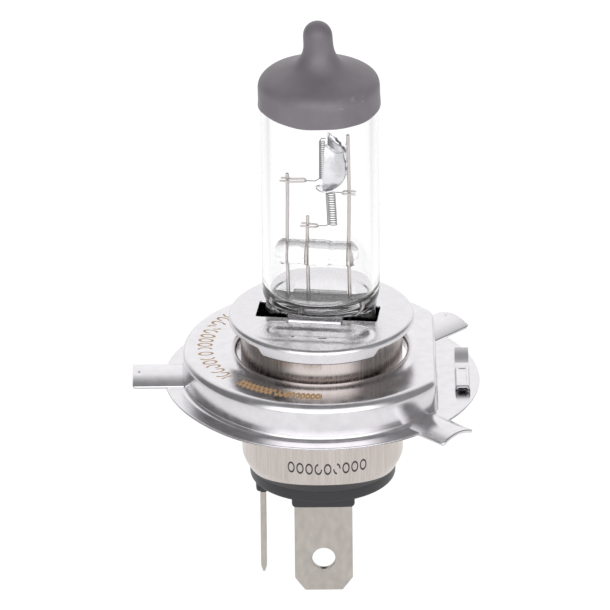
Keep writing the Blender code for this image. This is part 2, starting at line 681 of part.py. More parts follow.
def insulator(plastic):
    """Moulded disc in the crimped end of the sleeve, with a boss round each blade's root."""
    plug = CRIMP_RADIUS - SLEEVE_WALL - FIT_GAP
    centre = (INSULATOR_RADIUS - INSULATOR_ROUND, INSULATOR_BOTTOM + INSULATOR_ROUND)
    edge = arc(centre, (INSULATOR_ROUND, INSULATOR_ROUND), 0.0, -90.0, 3)
    shoulder = CRIMP_BOTTOM - FIT_GAP
    profile = [(0.0, INSULATOR_TOP), (plug, INSULATOR_TOP), (plug, shoulder), (INSULATOR_RADIUS, shoulder)]
    made = turned("insulator", profile + edge + [(0.0, INSULATOR_BOTTOM)], plastic)
    for name, angle in BLADES.items():
        turn = Matrix.Rotation(math.radians(angle), 4, "Z")
        boss = prism(f"boss_{name}", boss_outline(), BOSS_BOTTOM, INSULATOR_BOTTOM + BOSS_ROOT)
        slot = blade_cutter(
            f"slot_{name}",
            ROOT_WIDTH + 2 * SLOT_FIT,
            BLADE_SHEET + 2 * SLOT_FIT,
            BOSS_BOTTOM - MM,
            INSULATOR_TOP + MM,
        )
        boss.matrix_world = turn
        slot.matrix_world = turn
        join(made, boss)
        cut(made, slot)
    return made


def terminal(name, metal):
    """Flat blade with a narrow root through the insulator, chamfered end and round hole."""
    half, root = BLADE_WIDTH / 2, ROOT_WIDTH / 2
    shoulder = BOSS_BOTTOM - SLOT_FIT
    top = INSULATOR_TOP + 2 * OUTER_LEAD_STANDOFF
    chamfer_x, chamfer_z = BLADE_CHAMFER
    outline = [
        (-root, top),
        (-root, shoulder),
        (-half, shoulder),
        (-half, BLADE_END + chamfer_z),
        (-half + chamfer_x, BLADE_END),
        (half - chamfer_x, BLADE_END),
        (half, BLADE_END + chamfer_z),
        (half, shoulder),
        (root, shoulder),
        (root, top),
    ]
    made = prism(f"terminal_{name}", outline, -BLADE_SHEET / 2, BLADE_SHEET / 2, metal)
    turn = Matrix.Rotation(math.radians(BLADES[name]), 4, "Z")
    made.matrix_world = turn @ Matrix.Translation((BLADE_OFFSET, 0, 0)) @ SIDEWAYS
    start = (BLADE_OFFSET - BLADE_SHEET, 0.0, BLADE_HOLE_Z)
    end = (BLADE_OFFSET + BLADE_SHEET, 0.0, BLADE_HOLE_Z)
    hole = rod(f"blade_hole_{name}", BLADE_HOLE_RADIUS, start, end, steps=32)
    hole.matrix_world = turn
    cut(made, hole)
    return made


def main():
    clear_scene()
    glass = material("quartz_glass", (0.93, 0.94, 0.95), 0.02, transmission=1.0)
    paint = material("grey_coating", (0.20, 0.19, 0.21), 0.35)
    tungsten = material("tungsten_wire", (0.30, 0.30, 0.32), 0.45, 1.0)
    molybdenum = material("molybdenum", (0.55, 0.55, 0.57), 0.35, 1.0)
    steel = material("nickel_plated_steel", (0.72, 0.70, 0.72), 0.28, 1.0)
    sleeve = material("drawn_sleeve_steel", (0.66, 0.63, 0.61), 0.32, 1.0)
    plastic = material("black_insulator", (0.03, 0.03, 0.035), 0.45)
    blade = material("tinned_brass_blade", (0.62, 0.59, 0.55), 0.35, 1.0)

    glass_bulb(glass)
    top_coating(paint)
    for name in LEAD_X:
        inner_lead(name, molybdenum)
        hairpin_arm(name, molybdenum)
        pinch_foil(name, molybdenum)
    filaments(tungsten)
    beam_shield(molybdenum)
    bridge_bar(glass)
    turn_all_built()
    for name in BLADES:
        outer_lead(name, molybdenum)
        terminal(name, blade)
    flange_ring(steel)
    base_shell(sleeve)
    holder_disc(steel)
    pinch_clamp("pinch_clamp_rear", 1, steel)
    pinch_clamp("pinch_clamp_front", -1, steel)
    insulator(plastic)


main()
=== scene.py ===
"""Visual model of a two-filament halogen headlight bulb, built round its CAD parts.

Every piece is a surface worked out from two parameters, in millimetres, in the CAD's frame:
+Z up to the glass tip, the axis on Z, and the flange's upper face at height 0.
"""
import math

import bmesh
import bpy
import numpy as np
from bpy.props import FloatProperty, FloatVectorProperty, IntProperty, PointerProperty
from mathutils import Matrix, Vector


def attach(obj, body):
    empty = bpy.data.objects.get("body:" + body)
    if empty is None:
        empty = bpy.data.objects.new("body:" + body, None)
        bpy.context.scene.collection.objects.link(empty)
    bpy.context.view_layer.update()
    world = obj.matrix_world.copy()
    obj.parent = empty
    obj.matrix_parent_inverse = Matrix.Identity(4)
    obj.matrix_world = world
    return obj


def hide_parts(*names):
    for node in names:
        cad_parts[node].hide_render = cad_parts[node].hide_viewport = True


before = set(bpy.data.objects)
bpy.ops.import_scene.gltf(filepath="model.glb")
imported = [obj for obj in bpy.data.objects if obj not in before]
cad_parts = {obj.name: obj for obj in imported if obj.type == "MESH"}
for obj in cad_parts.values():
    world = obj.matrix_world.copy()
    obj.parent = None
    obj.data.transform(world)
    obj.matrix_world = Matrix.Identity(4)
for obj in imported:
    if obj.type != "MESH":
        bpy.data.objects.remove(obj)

bl_info = {
    "name": "Headlight Bulb",
    "version": (1, 0, 0),
    "blender": (4, 5, 0),
    "location": "View3D > Sidebar > Bulb",
    "description": "Builds the pieces and finishes of a two-filament headlight bulb",
    "category": "Object",
}

MM = 0.001
MERGE = 1e-7

# Sizes in millimetres. The main ones are the CAD parts' own; many small features differ from them.
GLASS_RADIUS = 8.0
GLASS_WALL = 1.1
COAT_GAP = 0.08
COAT_WALL = 0.17
BULB_TOP = 53.5
SHOULDER_BASE = 44.05
SHOULDER_SIZE = (2.5, 1.75)
SHOULDER_SWEEP = 58.0
CONE_SLOPE = 0.39
NUB_RADIUS = 1.75
FLARE_RADIUS = 3.55
FLARE_TOP = 50.9
TUBE_BASE = 14.2
TUBE_ROUND = 2.7
PINCH = (7.5, 1.75)
PINCH_END = -4.5
CAVITY_FLOOR = 13.0

GLASS_TURN = -7.3
LEADS = {"low": (-4.55, 30.8), "high": (-1.76, 24.6), "common": (3.87, 36.95)}
LEAD_FOOT = 6.3
LEAD_RADIUS = 0.25
ARMS = {"low": (30.0, -1.9), "high": (23.35, -0.3), "common": (28.45, 3.0)}
ARM_RADIUS = 0.13
ARM_OVERHANG = 0.85
ARM_BEND = 0.48
# A coil: middle x at foot and head, half width, half depth, heights, then the ends of its two legs
COILS = {
    "low_beam": ((0.27, 0.32), 0.37, 0.49, (30.35, 36.0), (-1.9, 0.0, 30.0), (0.75, 0.0, 36.4)),
    "high_beam": ((1.62, 1.4), 0.63, 0.53, (23.5, 28.25), (-0.3, 0.0, 23.35), (3.0, 0.0, 28.45)),
}
COIL_STEPS = 24
SHIELD_SHEET = 0.15
BAR_Z = 19.3
BAR_ENDS = (-6.4, 5.2)
BAR_RADIUS = 1.85

FLANGE_RADIUS = 21.5
RING_RADIUS = 19.0
RING_TOP = 5.0
RING_FILLET = 1.1
RING_FLAT = 15.5
RING_BORE = 11.6
LIP_ROUND = 0.8
LIP_CREST = 0.2
FLANGE_SHEET = 0.4
FLANGE_LIFT = 0.6
FOOT_FILLET = 0.6
LIP_BOTTOM = 3.3
TAB_BOTTOM = 1.2
TAB_SEAT = 11.3
TAB_ANGLES = (45.0, 135.0, 225.0, 315.0)
TAB_WIDTH = 4.0
LUG_REACH = 25.8
LUGS = {180.0: (7.0, 0.8), 45.0: (6.0, 0.0), -45.0: (6.0, 0.0)}
STRIP = (18.15, 20.1)

SLEEVE_RADIUS = 11.0
SLEEVE_WALL = 0.4
SLEEVE_TOP = 9.55
SLEEVE_BOTTOM = -10.6
CRIMP_RADIUS = 10.0
CRIMP_BOTTOM = -12.3
DISC_RADIUS = 12.6
DISC_TOP = 10.25
DISC_SHEET = 0.4
DISC_ROUND = 0.6
SKIRT_BOTTOM = 8.3
SKIRT_NOTCH_TOP = 9.3
SKIRT_TAB = 7.7
SLOT = (8.3, 2.45)
SLOT_X = -0.45
CLAMP_X = -0.45
CLAMP_WIDTH = 7.5
CLAMP_SHEET = 0.25
# Painted shade of three short slits in the disc's pad: middle x and y, half sizes
PAINTED_SLITS = ((-3.94, -8.1, 0.2, 0.14), (-1.7, -7.84, 0.6, 0.14), (0.08, -8.75, 0.6, 0.13))

INSULATOR_RADIUS = 9.95
INSULATOR_TOP = -10.0
INSULATOR_BOTTOM = -14.0
BOSS_BOTTOM = -15.0
BLADE_OFFSET = 8.2
BLADE_HALF = 3.95
BLADE_SHEET = 0.8
BLADE_TOP = -8.0
BLADE_END = -28.0
BLADE_ROOT = 2.5
HOLE_RADIUS = 1.6
HOLE_Z = -23.1
BLADES = {"low": 180.0, "common": -90.0, "high": 90.0}

FLOOR_Z = -28.3
FLOOR_HALF = 3000.0
GLOW_NEAR = 60.0
GLOW_FAR = 120.0
CAMERA_DOWN = 25.8
CAMERA_ROLL = 0.6
CAMERA_SHIFT = (-2.32, 10.1)
CAMERA_AWAY = 1500.0
CAMERA_LENS = 648.9
FILLET_STEPS = 6


# Grids ---------------------------------------------------------------------------
def ease(x):
    """Smooth step: three times the share squared less twice its cube, held from 0 to 1."""
    x = np.clip(x, 0.0, 1.0)
    return x * x * (3.0 - 2.0 * x)


def lerp(a, b, share):
    """The point a share of the way from a to b."""
    return a + (b - a) * share


def shares(count):
    """Evenly spaced shares from 0 to 1."""
    return np.linspace(0.0, 1.0, count)


def around(count):
    """Angles round a full turn as a column, without the repeated last one."""
    return np.arange(count)[:, None] * (2.0 * math.pi / count)


def stacked(x, y, z):
    """Points from three arrays, stretched to one shape."""
    return np.stack(np.broadcast_arrays(x, y, z), -1).astype(float)


def patch(points, wrap_u=False, wrap_v=False):
    """Points, quads and UVs of a grid: each cell joins a point to its two neighbours and the one across."""
    nu, nv = points.shape[:2]
    rows, columns = nu - (not wrap_u), nv - (not wrap_v)
    i, j = np.meshgrid(np.arange(rows), np.arange(columns), indexing="ij")
    corners = ((i, j), (i + 1, j), (i + 1, j + 1), (i, j + 1))
    faces = np.stack([(a % nu) * nv + b % nv for a, b in corners], -1).reshape(-1, 4)
    uvs = np.stack([np.stack((a / rows, b / columns), -1) for a, b in corners], 2).reshape(-1, 4, 2)
    return points.reshape(-1, 3), faces, uvs


def turned_over(made):
    """The same grid with its faces looking the other way."""
    points, faces, uvs = made
    return points, faces[:, ::-1], uvs[:, ::-1]


def solid(points, wrap_v=False, hollow=False):
    """A closed grid, wrapped in u, whose signed volume is made positive, or negative for a hollow."""
    made = patch(points, True, wrap_v)
    a, b, c, d = (made[0][made[1][:, k]] for k in range(4))
    volume = np.einsum("ij,ij->i", a, np.cross(b, c) + np.cross(c, d)).sum()
    return made if (volume > 0) != hollow else turned_over(made)


def sheet(points, facing, wrap_u=False):
    """An open grid whose mean normal looks along the vector facing."""
    made = patch(points, wrap_u)
    a, b, c, d = (made[0][made[1][:, k]] for k in range(4))
    normal = np.cross(c - a, d - b).sum(0)
    return made if normal @ np.array(facing) > 0 else turned_over(made)


def turned(profile, steps=160, wrap_v=False):
    """Revolve: x and y are the profile's radius times the angle's cosine and sine, z its height."""
    theta = around(steps)
    radius, height = np.array(profile, float).T
    return solid(stacked(radius * np.cos(theta), radius * np.sin(theta), height), wrap_v)


def filleted(corners, closed=False):
    """A line through (a, b, cut) corners: each is a parabola that starts and ends its cut from the corner."""
    points = [np.array(corner[:2], float) for corner in corners]
    share = shares(FILLET_STEPS + 1)[:, None]
    made = []
    for k, (corner, (_, _, cut)) in enumerate(zip(points, corners)):
        if cut == 0 or (not closed and k in (0, len(points) - 1)):
            made.append(corner[None])
            continue
        before, after = points[k - 1], points[(k + 1) % len(points)]
        start = corner + (before - corner) / np.linalg.norm(before - corner) * cut
        end = corner + (after - corner) / np.linalg.norm(after - corner) * cut
        made.append((1 - share) ** 2 * start + 2 * share * (1 - share) * corner + share**2 * end)
    return np.concatenate(made)


def tube(path, radius, sides=12, reference=(0.0, 1.0, 0.0)):
    """Round bar along a path: each ring's two axes are the tangent crossed with a fixed direction.

    The ends are half circles: rings move on along the tangent by the radius times a cosine
    while they shrink by its sine.
    """
    path = np.array(path, float)
    tangent = np.gradient(path, axis=0)
    tangent /= np.linalg.norm(tangent, axis=1, keepdims=True)
    bend = np.linspace(0.0, math.pi / 2, 5)[:-1, None]
    head = path[0] - tangent[0] * radius * np.cos(bend)
    tail = path[-1] + tangent[-1] * radius * np.cos(bend[::-1])
    centres = np.concatenate([head, path, tail])
    tangent = np.concatenate([np.repeat(tangent[:1], 4, 0), tangent, np.repeat(tangent[-1:], 4, 0)])
    sizes = np.concatenate([np.sin(bend), np.ones((len(path), 1)), np.sin(bend[::-1])]) * radius
    side = np.cross(tangent, np.array(reference))
    side /= np.linalg.norm(side, axis=1, keepdims=True)
    across = np.cross(side, tangent)
    theta = around(sides)[:, :, None]
    return solid(centres + sizes * (side * np.cos(theta) + across * np.sin(theta)))


def spin(made, angle):
    """The grid turned about Z by an angle in degrees."""
    turn = np.array(Matrix.Rotation(math.radians(angle), 3, "Z"))
    points, faces, uvs = made
    return points @ turn.T, faces, uvs


def piece(name, patches, finish, nodes, sharp=35.0, wall=0.0):
    """One object from grids: it takes a finish, stands for CAD nodes and rides on their body."""
    starts = np.cumsum([0] + [len(points) for points, _, _ in patches])
    points = np.concatenate([points for points, _, _ in patches]) * MM
    faces = np.concatenate([faces + start for (_, faces, _), start in zip(patches, starts)])
    uvs = np.concatenate([uvs for _, _, uvs in patches])
    mesh = bpy.data.meshes.new(name)
    mesh.from_pydata(points.tolist(), [], faces.tolist())
    mesh.uv_layers.new(name="Surface").data.foreach_set("uv", uvs.astype(np.float32).ravel())
    shape = bmesh.new()
    shape.from_mesh(mesh)
    bmesh.ops.remove_doubles(shape, verts=shape.verts[:], dist=MERGE)
    shape.to_mesh(mesh)
    shape.free()
    mesh.shade_smooth()
    mesh.set_sharp_from_angle(angle=math.radians(sharp))
    mesh.materials.append(finish)
    made = bpy.data.objects.new(name, mesh)
    bpy.context.scene.collection.objects.link(made)
    if wall:
        thick = made.modifiers.new("Sheet thickness", "SOLIDIFY")
        thick.thickness = wall * MM
        thick.offset = -1.0
    if nodes:
        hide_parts(*nodes)
        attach(made, "root")
    return made


# Materials -----------------------------------------------------------------------
def srgb(code):
    """Linear colour of a six-digit sRGB hex code."""
    parts = [int(code[k : k + 2], 16) / 255 for k in (1, 3, 5)]
    return tuple(c / 12.92 if c <= 0.04045 else ((c + 0.055) / 1.055) ** 2.4 for c in parts)


def add(tree, kind, links=None, values=None, **settings):
    """Adds a node with its settings, its sockets' constants and the links into it."""
    made = tree.nodes.new(kind)
    for key, value in settings.items():
        setattr(made, key, value)
    for key, value in (values or {}).items():
        made.inputs[key].default_value = value
    for key, source in (links or {}).items():
        tree.links.new(source, made.inputs[key])
    return made


def maths(tree, operation, *terms):
    """A Math node on sockets or numbers, and its result."""
    made = tree.nodes.new("ShaderNodeMath")
    made.operation = operation
    for socket, term in zip(made.inputs, terms):
        if isinstance(term, bpy.types.NodeSocket):
            tree.links.new(term, socket)
        else:
            socket.default_value = term
    return made.outputs[0]


def material(name, colour, **values):
    """A material of one colour, with its tree and its shader; values are the shader's other sockets."""
    made = bpy.data.materials.new(name)
    made.use_nodes = True
    tree = made.node_tree
    shader = tree.nodes["Principled BSDF"]
    shader.inputs["Base Color"].default_value = (*colour, 1.0)
    for key, value in values.items():
        shader.inputs[key.replace("_", " ")].default_value = value
    made.diffuse_color = (*colour, 1.0)
    return made, tree, shader


def grain(tree, size, stretch=(1.0, 1.0, 1.0), detail=3.0):
    """Noise whose blobs are size millimetres across, drawn out along an axis by its stretch."""
    place = add(tree, "ShaderNodeTexCoord").outputs["Object"]
    scale = tuple(1.0 / (size * MM * s) for s in stretch)
    scaled = add(tree, "ShaderNodeMapping", {"Vector": place}, {"Scale": scale}).outputs[0]
    values = {"Scale": 1.0, "Detail": detail}
    return add(tree, "ShaderNodeTexNoise", {"Vector": scaled}, values).outputs["Fac"]


def spread(tree, source, low, high, start=0.3, end=0.7):
    """A socket's span from start to end, mapped to low and high."""
    values = {"From Min": start, "From Max": end, "To Min": low, "To Max": high}
    return add(tree, "ShaderNodeMapRange", {"Value": source}, values).outputs["Result"]


def tint(tree, factor, first, second):
    """Mixes two colours, or two colour sockets, by a factor."""
    made = add(tree, "ShaderNodeMix", {"Factor": factor}, data_type="RGBA")
    for key, colour in (("A", first), ("B", second)):
        socket = [s for s in made.inputs if s.name == key and s.type == "RGBA"][0]
        if isinstance(colour, bpy.types.NodeSocket):
            tree.links.new(colour, socket)
        else:
            socket.default_value = (*colour, 1.0)
    return [s for s in made.outputs if s.type == "RGBA"][0]


def bump(tree, shader, height, depth):
    """Bumps as deep as depth in millimetres."""
    made = add(tree, "ShaderNodeBump", {"Height": height}, {"Distance": depth * MM, "Strength": 1.0})
    tree.links.new(made.outputs[0], shader.inputs["Normal"])


def over(tree, shader, mask, colour):
    """Lays a colour over the base colour where the mask is 1."""
    under = shader.inputs["Base Color"].links[0].from_socket
    tree.links.new(tint(tree, mask, under, colour), shader.inputs["Base Color"])


def shaded(colour, factor):
    """A colour made lighter or darker by a factor."""
    return tuple(c * factor for c in colour)


def position(tree):
    """Object coordinates in millimetres."""
    place = add(tree, "ShaderNodeTexCoord").outputs["Object"]
    parts = add(tree, "ShaderNodeSeparateXYZ", {"Vector": place}).outputs
    return [maths(tree, "DIVIDE", part, MM) for part in parts]


def distance(tree, a, b):
    """Root of the sum of two sockets' squares."""
    squares = maths(tree, "ADD", maths(tree, "MULTIPLY", a, a), maths(tree, "MULTIPLY", b, b))
    return maths(tree, "SQRT", squares)


def polar(tree):
    """Angle round Z in turns, distance from the axis and height, both in millimetres."""
    x, y, z = position(tree)
    return maths(tree, "DIVIDE", maths(tree, "ARCTAN2", y, x), 2 * math.pi), distance(tree, x, y), z


def within(tree, source, low, high):
    """1 where a socket lies from low to high, else 0."""
    above = maths(tree, "GREATER_THAN", source, low)
    return maths(tree, "MULTIPLY", above, maths(tree, "LESS_THAN", source, high))


def arcs(tree, across, along, box, pitch, weight, share):
    """Marks in a row: one oval a cell, drawn as four arcs of which chance leaves some out.

    box is the row's (low, high) across and along and pitch a cell's length, in millimetres.
    Weight is half a line's width as a share of the oval's half size.
    """
    (low_a, high_a), (low_b, high_b) = box
    cell = maths(tree, "FLOOR", maths(tree, "DIVIDE", across, pitch))
    local = maths(tree, "FLOORED_MODULO", across, pitch)
    wide = 0.34  # an oval's half width as a share of its cell
    u = maths(tree, "MULTIPLY_ADD", local, 1 / (wide * pitch), -0.5 / wide)
    half = (high_b - low_b) / 2
    v = maths(tree, "MULTIPLY_ADD", along, 1 / half, -(low_b + half) / half)
    line = within(tree, distance(tree, u, v), 1 - weight, 1 + weight)
    quarter = {"X": cell, "Y": maths(tree, "SIGN", u), "Z": maths(tree, "SIGN", v)}
    where = add(tree, "ShaderNodeCombineXYZ", quarter).outputs[0]
    chance = add(tree, "ShaderNodeTexWhiteNoise", {"Vector": where}, noise_dimensions="3D").outputs["Value"]
    on = maths(tree, "MULTIPLY", maths(tree, "LESS_THAN", chance, share), within(tree, across, low_a, high_a))
    return maths(tree, "MULTIPLY", line, on)


def quartz(colours, name="Quartz glass, drawn and flame sealed"):
    """Clear quartz, finished by the flame."""
    made, tree, shader = material(name, colours.quartz, Roughness=0.0, IOR=1.458, Transmission_Weight=1.0)
    # Faint draw lines along the tube make its edges shimmer slightly
    bump(tree, shader, grain(tree, 1.2, (1, 1, 14), 1.0), 0.004)
    return made


def coating(colours):
    """Opaque grey coating of the dome."""
    made, tree, shader = material("Grey ceramic coating, dipped and fired", colours.coating, Roughness=0.42)
    # Slow blotches break up the even grey, and fine grain gives it a satin, slightly rough skin
    blotch = grain(tree, 4.0)
    tree.links.new(
        tint(tree, spread(tree, blotch, 0, 1), shaded(colours.coating, 0.9), shaded(colours.coating, 1.12)),
        shader.inputs["Base Color"],
    )
    bump(tree, shader, grain(tree, 0.5, detail=5.0), 0.012)
    # One rubbed patch at the right of the front shoulder, pale where the skin is worn smooth
    angle, _, height = polar(tree)
    patch_box = maths(tree, "MULTIPLY", within(tree, angle, -0.24, -0.1), within(tree, height, 44.0, 45.3))
    rubbed = spread(tree, grain(tree, 0.7, (2, 2, 1)), 0.0, 0.45, 0.56, 0.66)
    worn = maths(tree, "MULTIPLY", patch_box, rubbed)
    over(tree, shader, worn, (0.3, 0.29, 0.3))
    return made


def metal(name, colour, roughness=0.28, size=0.6, stretch=(1, 1, 1), depth=0.0012, contrast=0.05):
    """Metal with uneven shine: noise moves its tone and roughness a little and lifts fine bumps."""
    made, tree, shader = material(name, colour, Metallic=1.0, Roughness=roughness)
    noise = grain(tree, size, stretch, 4.0)
    low, high = shaded(colour, 1 - contrast), shaded(colour, 1 + contrast)
    tree.links.new(tint(tree, spread(tree, noise, 0, 1), low, high), shader.inputs["Base Color"])
    tree.links.new(spread(tree, noise, roughness * 0.8, roughness * 1.25), shader.inputs["Roughness"])
    bump(tree, shader, noise, depth)
    return made, tree, shader


def marked(made, mask, marks_and_shade, roughness):
    """Puts printed or etched marks, or painted shade, over a metal: their own colour, dull and not metallic.
    """
    _, tree, shader = made
    over(tree, shader, mask, marks_and_shade)
    tree.links.new(spread(tree, mask, 1.0, 0.0, 0.0, 1.0), shader.inputs["Metallic"])
    under = shader.inputs["Roughness"].links[0].from_socket
    dull = maths(tree, "MAXIMUM", under, maths(tree, "MULTIPLY", mask, roughness))
    tree.links.new(dull, shader.inputs["Roughness"])
    return made[0]


def ring_steel(colours):
    """Pressed steel with laser-etched marks: broken brown ovals in an arc on the ring's top face."""
    made = metal("Nickel-plated steel, pressed and laser etched", colours.steel, 0.2, 1.5)
    tree = made[1]
    angle, radius, height = polar(tree)
    # The length along the arc is measured 15.5 mm from the axis, in the middle of the top face
    arc_length = maths(tree, "MULTIPLY", maths(tree, "FLOORED_MODULO", angle, 1.0), 2 * math.pi * 15.5)
    etched = arcs(tree, arc_length, radius, ((38.5, 58.5), (15.0, 16.8)), 1.35, 0.2, 0.75)
    dense = arcs(tree, arc_length, radius, ((60.5, 73.0), (14.9, 16.1)), 0.7, 0.55, 0.95)
    on_top = maths(tree, "GREATER_THAN", height, RING_TOP - 0.1)
    mask = maths(tree, "MULTIPLY", maths(tree, "MAXIMUM", etched, dense), on_top)
    # Painted shade: the two pressed windows beside the bridge are painted a darker grey where the recesses
    # lie in shade
    x, y, _ = position(tree)
    span = within(tree, x, STRIP[0] + 0.08, STRIP[1] - 0.08)
    rear = maths(tree, "MULTIPLY", within(tree, y, 4.3, 9.0), 0.75)
    ramp = maths(tree, "MULTIPLY", spread(tree, y, 0.0, 0.7, -7.6, -4.4), maths(tree, "LESS_THAN", y, -4.0))
    painted_recess_shade = maths(tree, "MULTIPLY", span, maths(tree, "MAXIMUM", rear, ramp))
    over(tree, made[2], painted_recess_shade, shaded(colours.steel, 0.5))
    return marked(made, mask, colours.etching, 0.55)


def sleeve_steel(colours):
    """Deep-drawn steel: streaks run up the wall, a printed row of broken ovals stands on its front, and the
    crimped foot and the flared top are darkened with painted shade.
    """
    name = "Nickel-plated steel, deep drawn and printed"
    made = metal(name, colours.sleeve, 0.26, 0.3, (1, 1, 20), 0.004, 0.1)
    tree = made[1]
    angle, _, height = polar(tree)
    across = maths(tree, "MULTIPLY", maths(tree, "ADD", angle, 0.25), 2 * math.pi * SLEEVE_RADIUS)
    mask = arcs(tree, across, height, ((-5.0, 6.4), (-9.0, -7.6)), 1.27, 0.2, 0.8)
    # Painted dark reflection: the crimped foot is darkened, and the dark reaches highest on the front
    side = maths(tree, "SINE", maths(tree, "MULTIPLY", maths(tree, "ADD", angle, 0.25), 2 * math.pi))
    line = maths(tree, "MULTIPLY_ADD", maths(tree, "MULTIPLY", side, side), -1.7, -10.75)
    mask = maths(tree, "MAXIMUM", mask, maths(tree, "LESS_THAN", height, line))
    # Painted shade: the flared top under the disc is darkened from 8.3 mm upwards
    mask = maths(tree, "MAXIMUM", mask, spread(tree, height, 0.0, 0.75, 8.3, 8.9))
    # One mask carries the print and the painted shade
    return marked(made, mask, colours.marks_and_shade, 0.5)


def disc_steel(colours):
    """Pressed steel of the disc and the clamps; three dark marks are painted shade that stands for short
    slits in the pad.
    """
    made = metal("Nickel-plated steel, pressed", colours.steel, 0.25, 1.2)
    tree = made[1]
    x, y, _ = position(tree)
    # Painted shade: dark boxes stand for the shade inside three short slits
    mask = 0.0
    for middle_x, middle_y, half_x, half_y in PAINTED_SLITS:
        across = within(tree, x, middle_x - half_x, middle_x + half_x)
        along = within(tree, y, middle_y - half_y, middle_y + half_y)
        mask = maths(tree, "MAXIMUM", mask, maths(tree, "MULTIPLY", across, along))
    return marked(made, mask, shaded(colours.marks_and_shade, 0.4), 0.6)


def plastic(colours):
    """Black moulding compound of the insulator."""
    made, tree, shader = material("Black phenolic, compression moulded", colours.plastic, Roughness=0.42)
    # Fine grain dulls the highlights as filled moulding compound does
    bump(tree, shader, grain(tree, 0.25, detail=4.0), 0.01)
    return made


# Settings ------------------------------------------------------------------------
def length(name, description, default):
    """A length that the user can set, in metres."""
    return FloatProperty(name=name, description=description, default=default, unit="LENGTH")


def turns(name, description, default):
    """A count of a coil's turns that the user can set."""
    return IntProperty(name=name, description=description, default=default, min=2)


def colour(name, description, code):
    """A colour that the user can set, from its sRGB code."""
    return FloatVectorProperty(
        name=name, description=description, default=srgb(code), subtype="COLOR", min=0.0, max=1.0
    )


class BulbSizes(bpy.types.PropertyGroup):
    """Sizes that differ from one bulb to the next."""

    coat_edge: length("Coating edge", "Height of the coating's lower edge", 41.35 * MM)
    coat_ripple: length("Coating ripple", "How far the coating's lower edge wanders", 0.12 * MM)
    wire: length("Filament wire", "Radius of the filaments' wire", 0.06 * MM)
    lug_rise: length("Lug arch", "How far a lug's middle stands above its edges", 0.8 * MM)
    emboss: length("Emboss depth", "Depth of the pressed mark on the holder disc", 0.28 * MM)
    low_turns: turns("Low-beam turns", "Turns of the low-beam coil", 18)
    high_turns: turns("High-beam turns", "Turns of the high-beam coil", 14)


class BulbColours(bpy.types.PropertyGroup):
    """Colours of the bulb's materials."""

    quartz: colour("Quartz", "Tint of the glass", "#ffffff")
    coating: colour("Coating", "Coating on the dome", "#756f76")
    tungsten: colour("Tungsten", "Filament wire", "#6c6b70")
    molybdenum: colour("Molybdenum", "Leads, arms and foils", "#d9d3d0")
    shield: colour("Beam shield", "Drawn cup beside the low-beam coil", "#e9e9ed")
    steel: colour("Plated steel", "Flange, holder disc and clamps", "#dddbde")
    sleeve: colour("Sleeve steel", "Drawn base sleeve", "#c3bbb6")
    etching: colour("Etched marks", "Marks on the ring", "#cba477")
    # Also the painted shade on the sleeve's foot and flared top, and, darker, on the disc's slits
    marks_and_shade: colour("Printed marks", "Marks on the sleeve", "#2a282b")
    plastic: colour("Insulator", "Moulded insulator", "#242428")
    blade: colour("Blades", "Terminal blades", "#b2aca6")


class BulbStage(bpy.types.PropertyGroup):
    """Light and floor."""

    front: FloatProperty(name="Front", description="Light from the camera's side", default=2.0)
    back: FloatProperty(name="Back", description="Light from behind", default=1.15)
    left: FloatProperty(name="Left", description="Light from the left", default=0.22)
    right: FloatProperty(name="Right", description="Light from the right", default=0.3)
    overhead: FloatProperty(name="Overhead", description="Light from above", default=0.3)
    floor_glow: FloatProperty(name="Floor glow", description="Light the floor gives out", default=0.97)
    floor_sides: FloatProperty(name="Floor sides", description="Share of the glow left far out", default=0.75)
    floor: colour("Floor", "Paint under the floor's glow", "#616161")


# Glass ---------------------------------------------------------------------------
def dome(grow=0.0):
    """Dome profile: a round nub, a cubic flare, a straight cone and an elliptic shoulder.

    Each point is moved by grow along the curve's normal.
    """
    tip = BULB_TOP - COAT_GAP - COAT_WALL
    wide, high = SHOULDER_SIZE
    bend = np.linspace(math.pi / 2, 0.0, 12)
    nub = np.stack((NUB_RADIUS * np.cos(bend), tip - NUB_RADIUS + NUB_RADIUS * np.sin(bend)), -1)
    bend = np.radians(np.linspace(SHOULDER_SWEEP, 0.0, 14))
    shoulder = np.stack((GLASS_RADIUS - wide + wide * np.cos(bend), SHOULDER_BASE + high * np.sin(bend)), -1)
    flare_foot = shoulder[0, 1] + CONE_SLOPE * (shoulder[0, 0] - FLARE_RADIUS)
    share = shares(16)
    radius = NUB_RADIUS + (FLARE_RADIUS - NUB_RADIUS) * share**3
    flare = np.stack((radius, lerp(FLARE_TOP, flare_foot, share)), -1)
    cone = lerp(flare[-1], shoulder[0], shares(8)[1:-1, None])
    line = np.concatenate([nub, flare, cone, shoulder])
    for _ in range(3):
        line[1:-1] = (line[:-2] + 2 * line[1:-1] + line[2:]) / 4
    along = np.gradient(line, axis=0)
    along /= np.linalg.norm(along, axis=1, keepdims=True)
    along[0], along[-1] = (1.0, 0.0), (0.0, -1.0)
    return line + grow * np.stack((-along[:, 1], along[:, 0]), -1)


def lean(points):
    """Moves the nub sideways: the shift grows from nothing at the flare to its full size at the tip."""
    points[..., 0] -= 0.16 * ease((points[..., 2] - 48.0) / 5.0)
    return points


def loft(z, half_x, half_y, power, steps=160):
    """Superellipse sections: x and y are each half size times a power of the cosine and sine."""
    theta = around(steps)
    cosine, sine = np.cos(theta), np.sin(theta)
    x = half_x * np.sign(cosine) * np.abs(cosine) ** power
    y = half_y * np.sign(sine) * np.abs(sine) ** power
    return stacked(x, y, z)


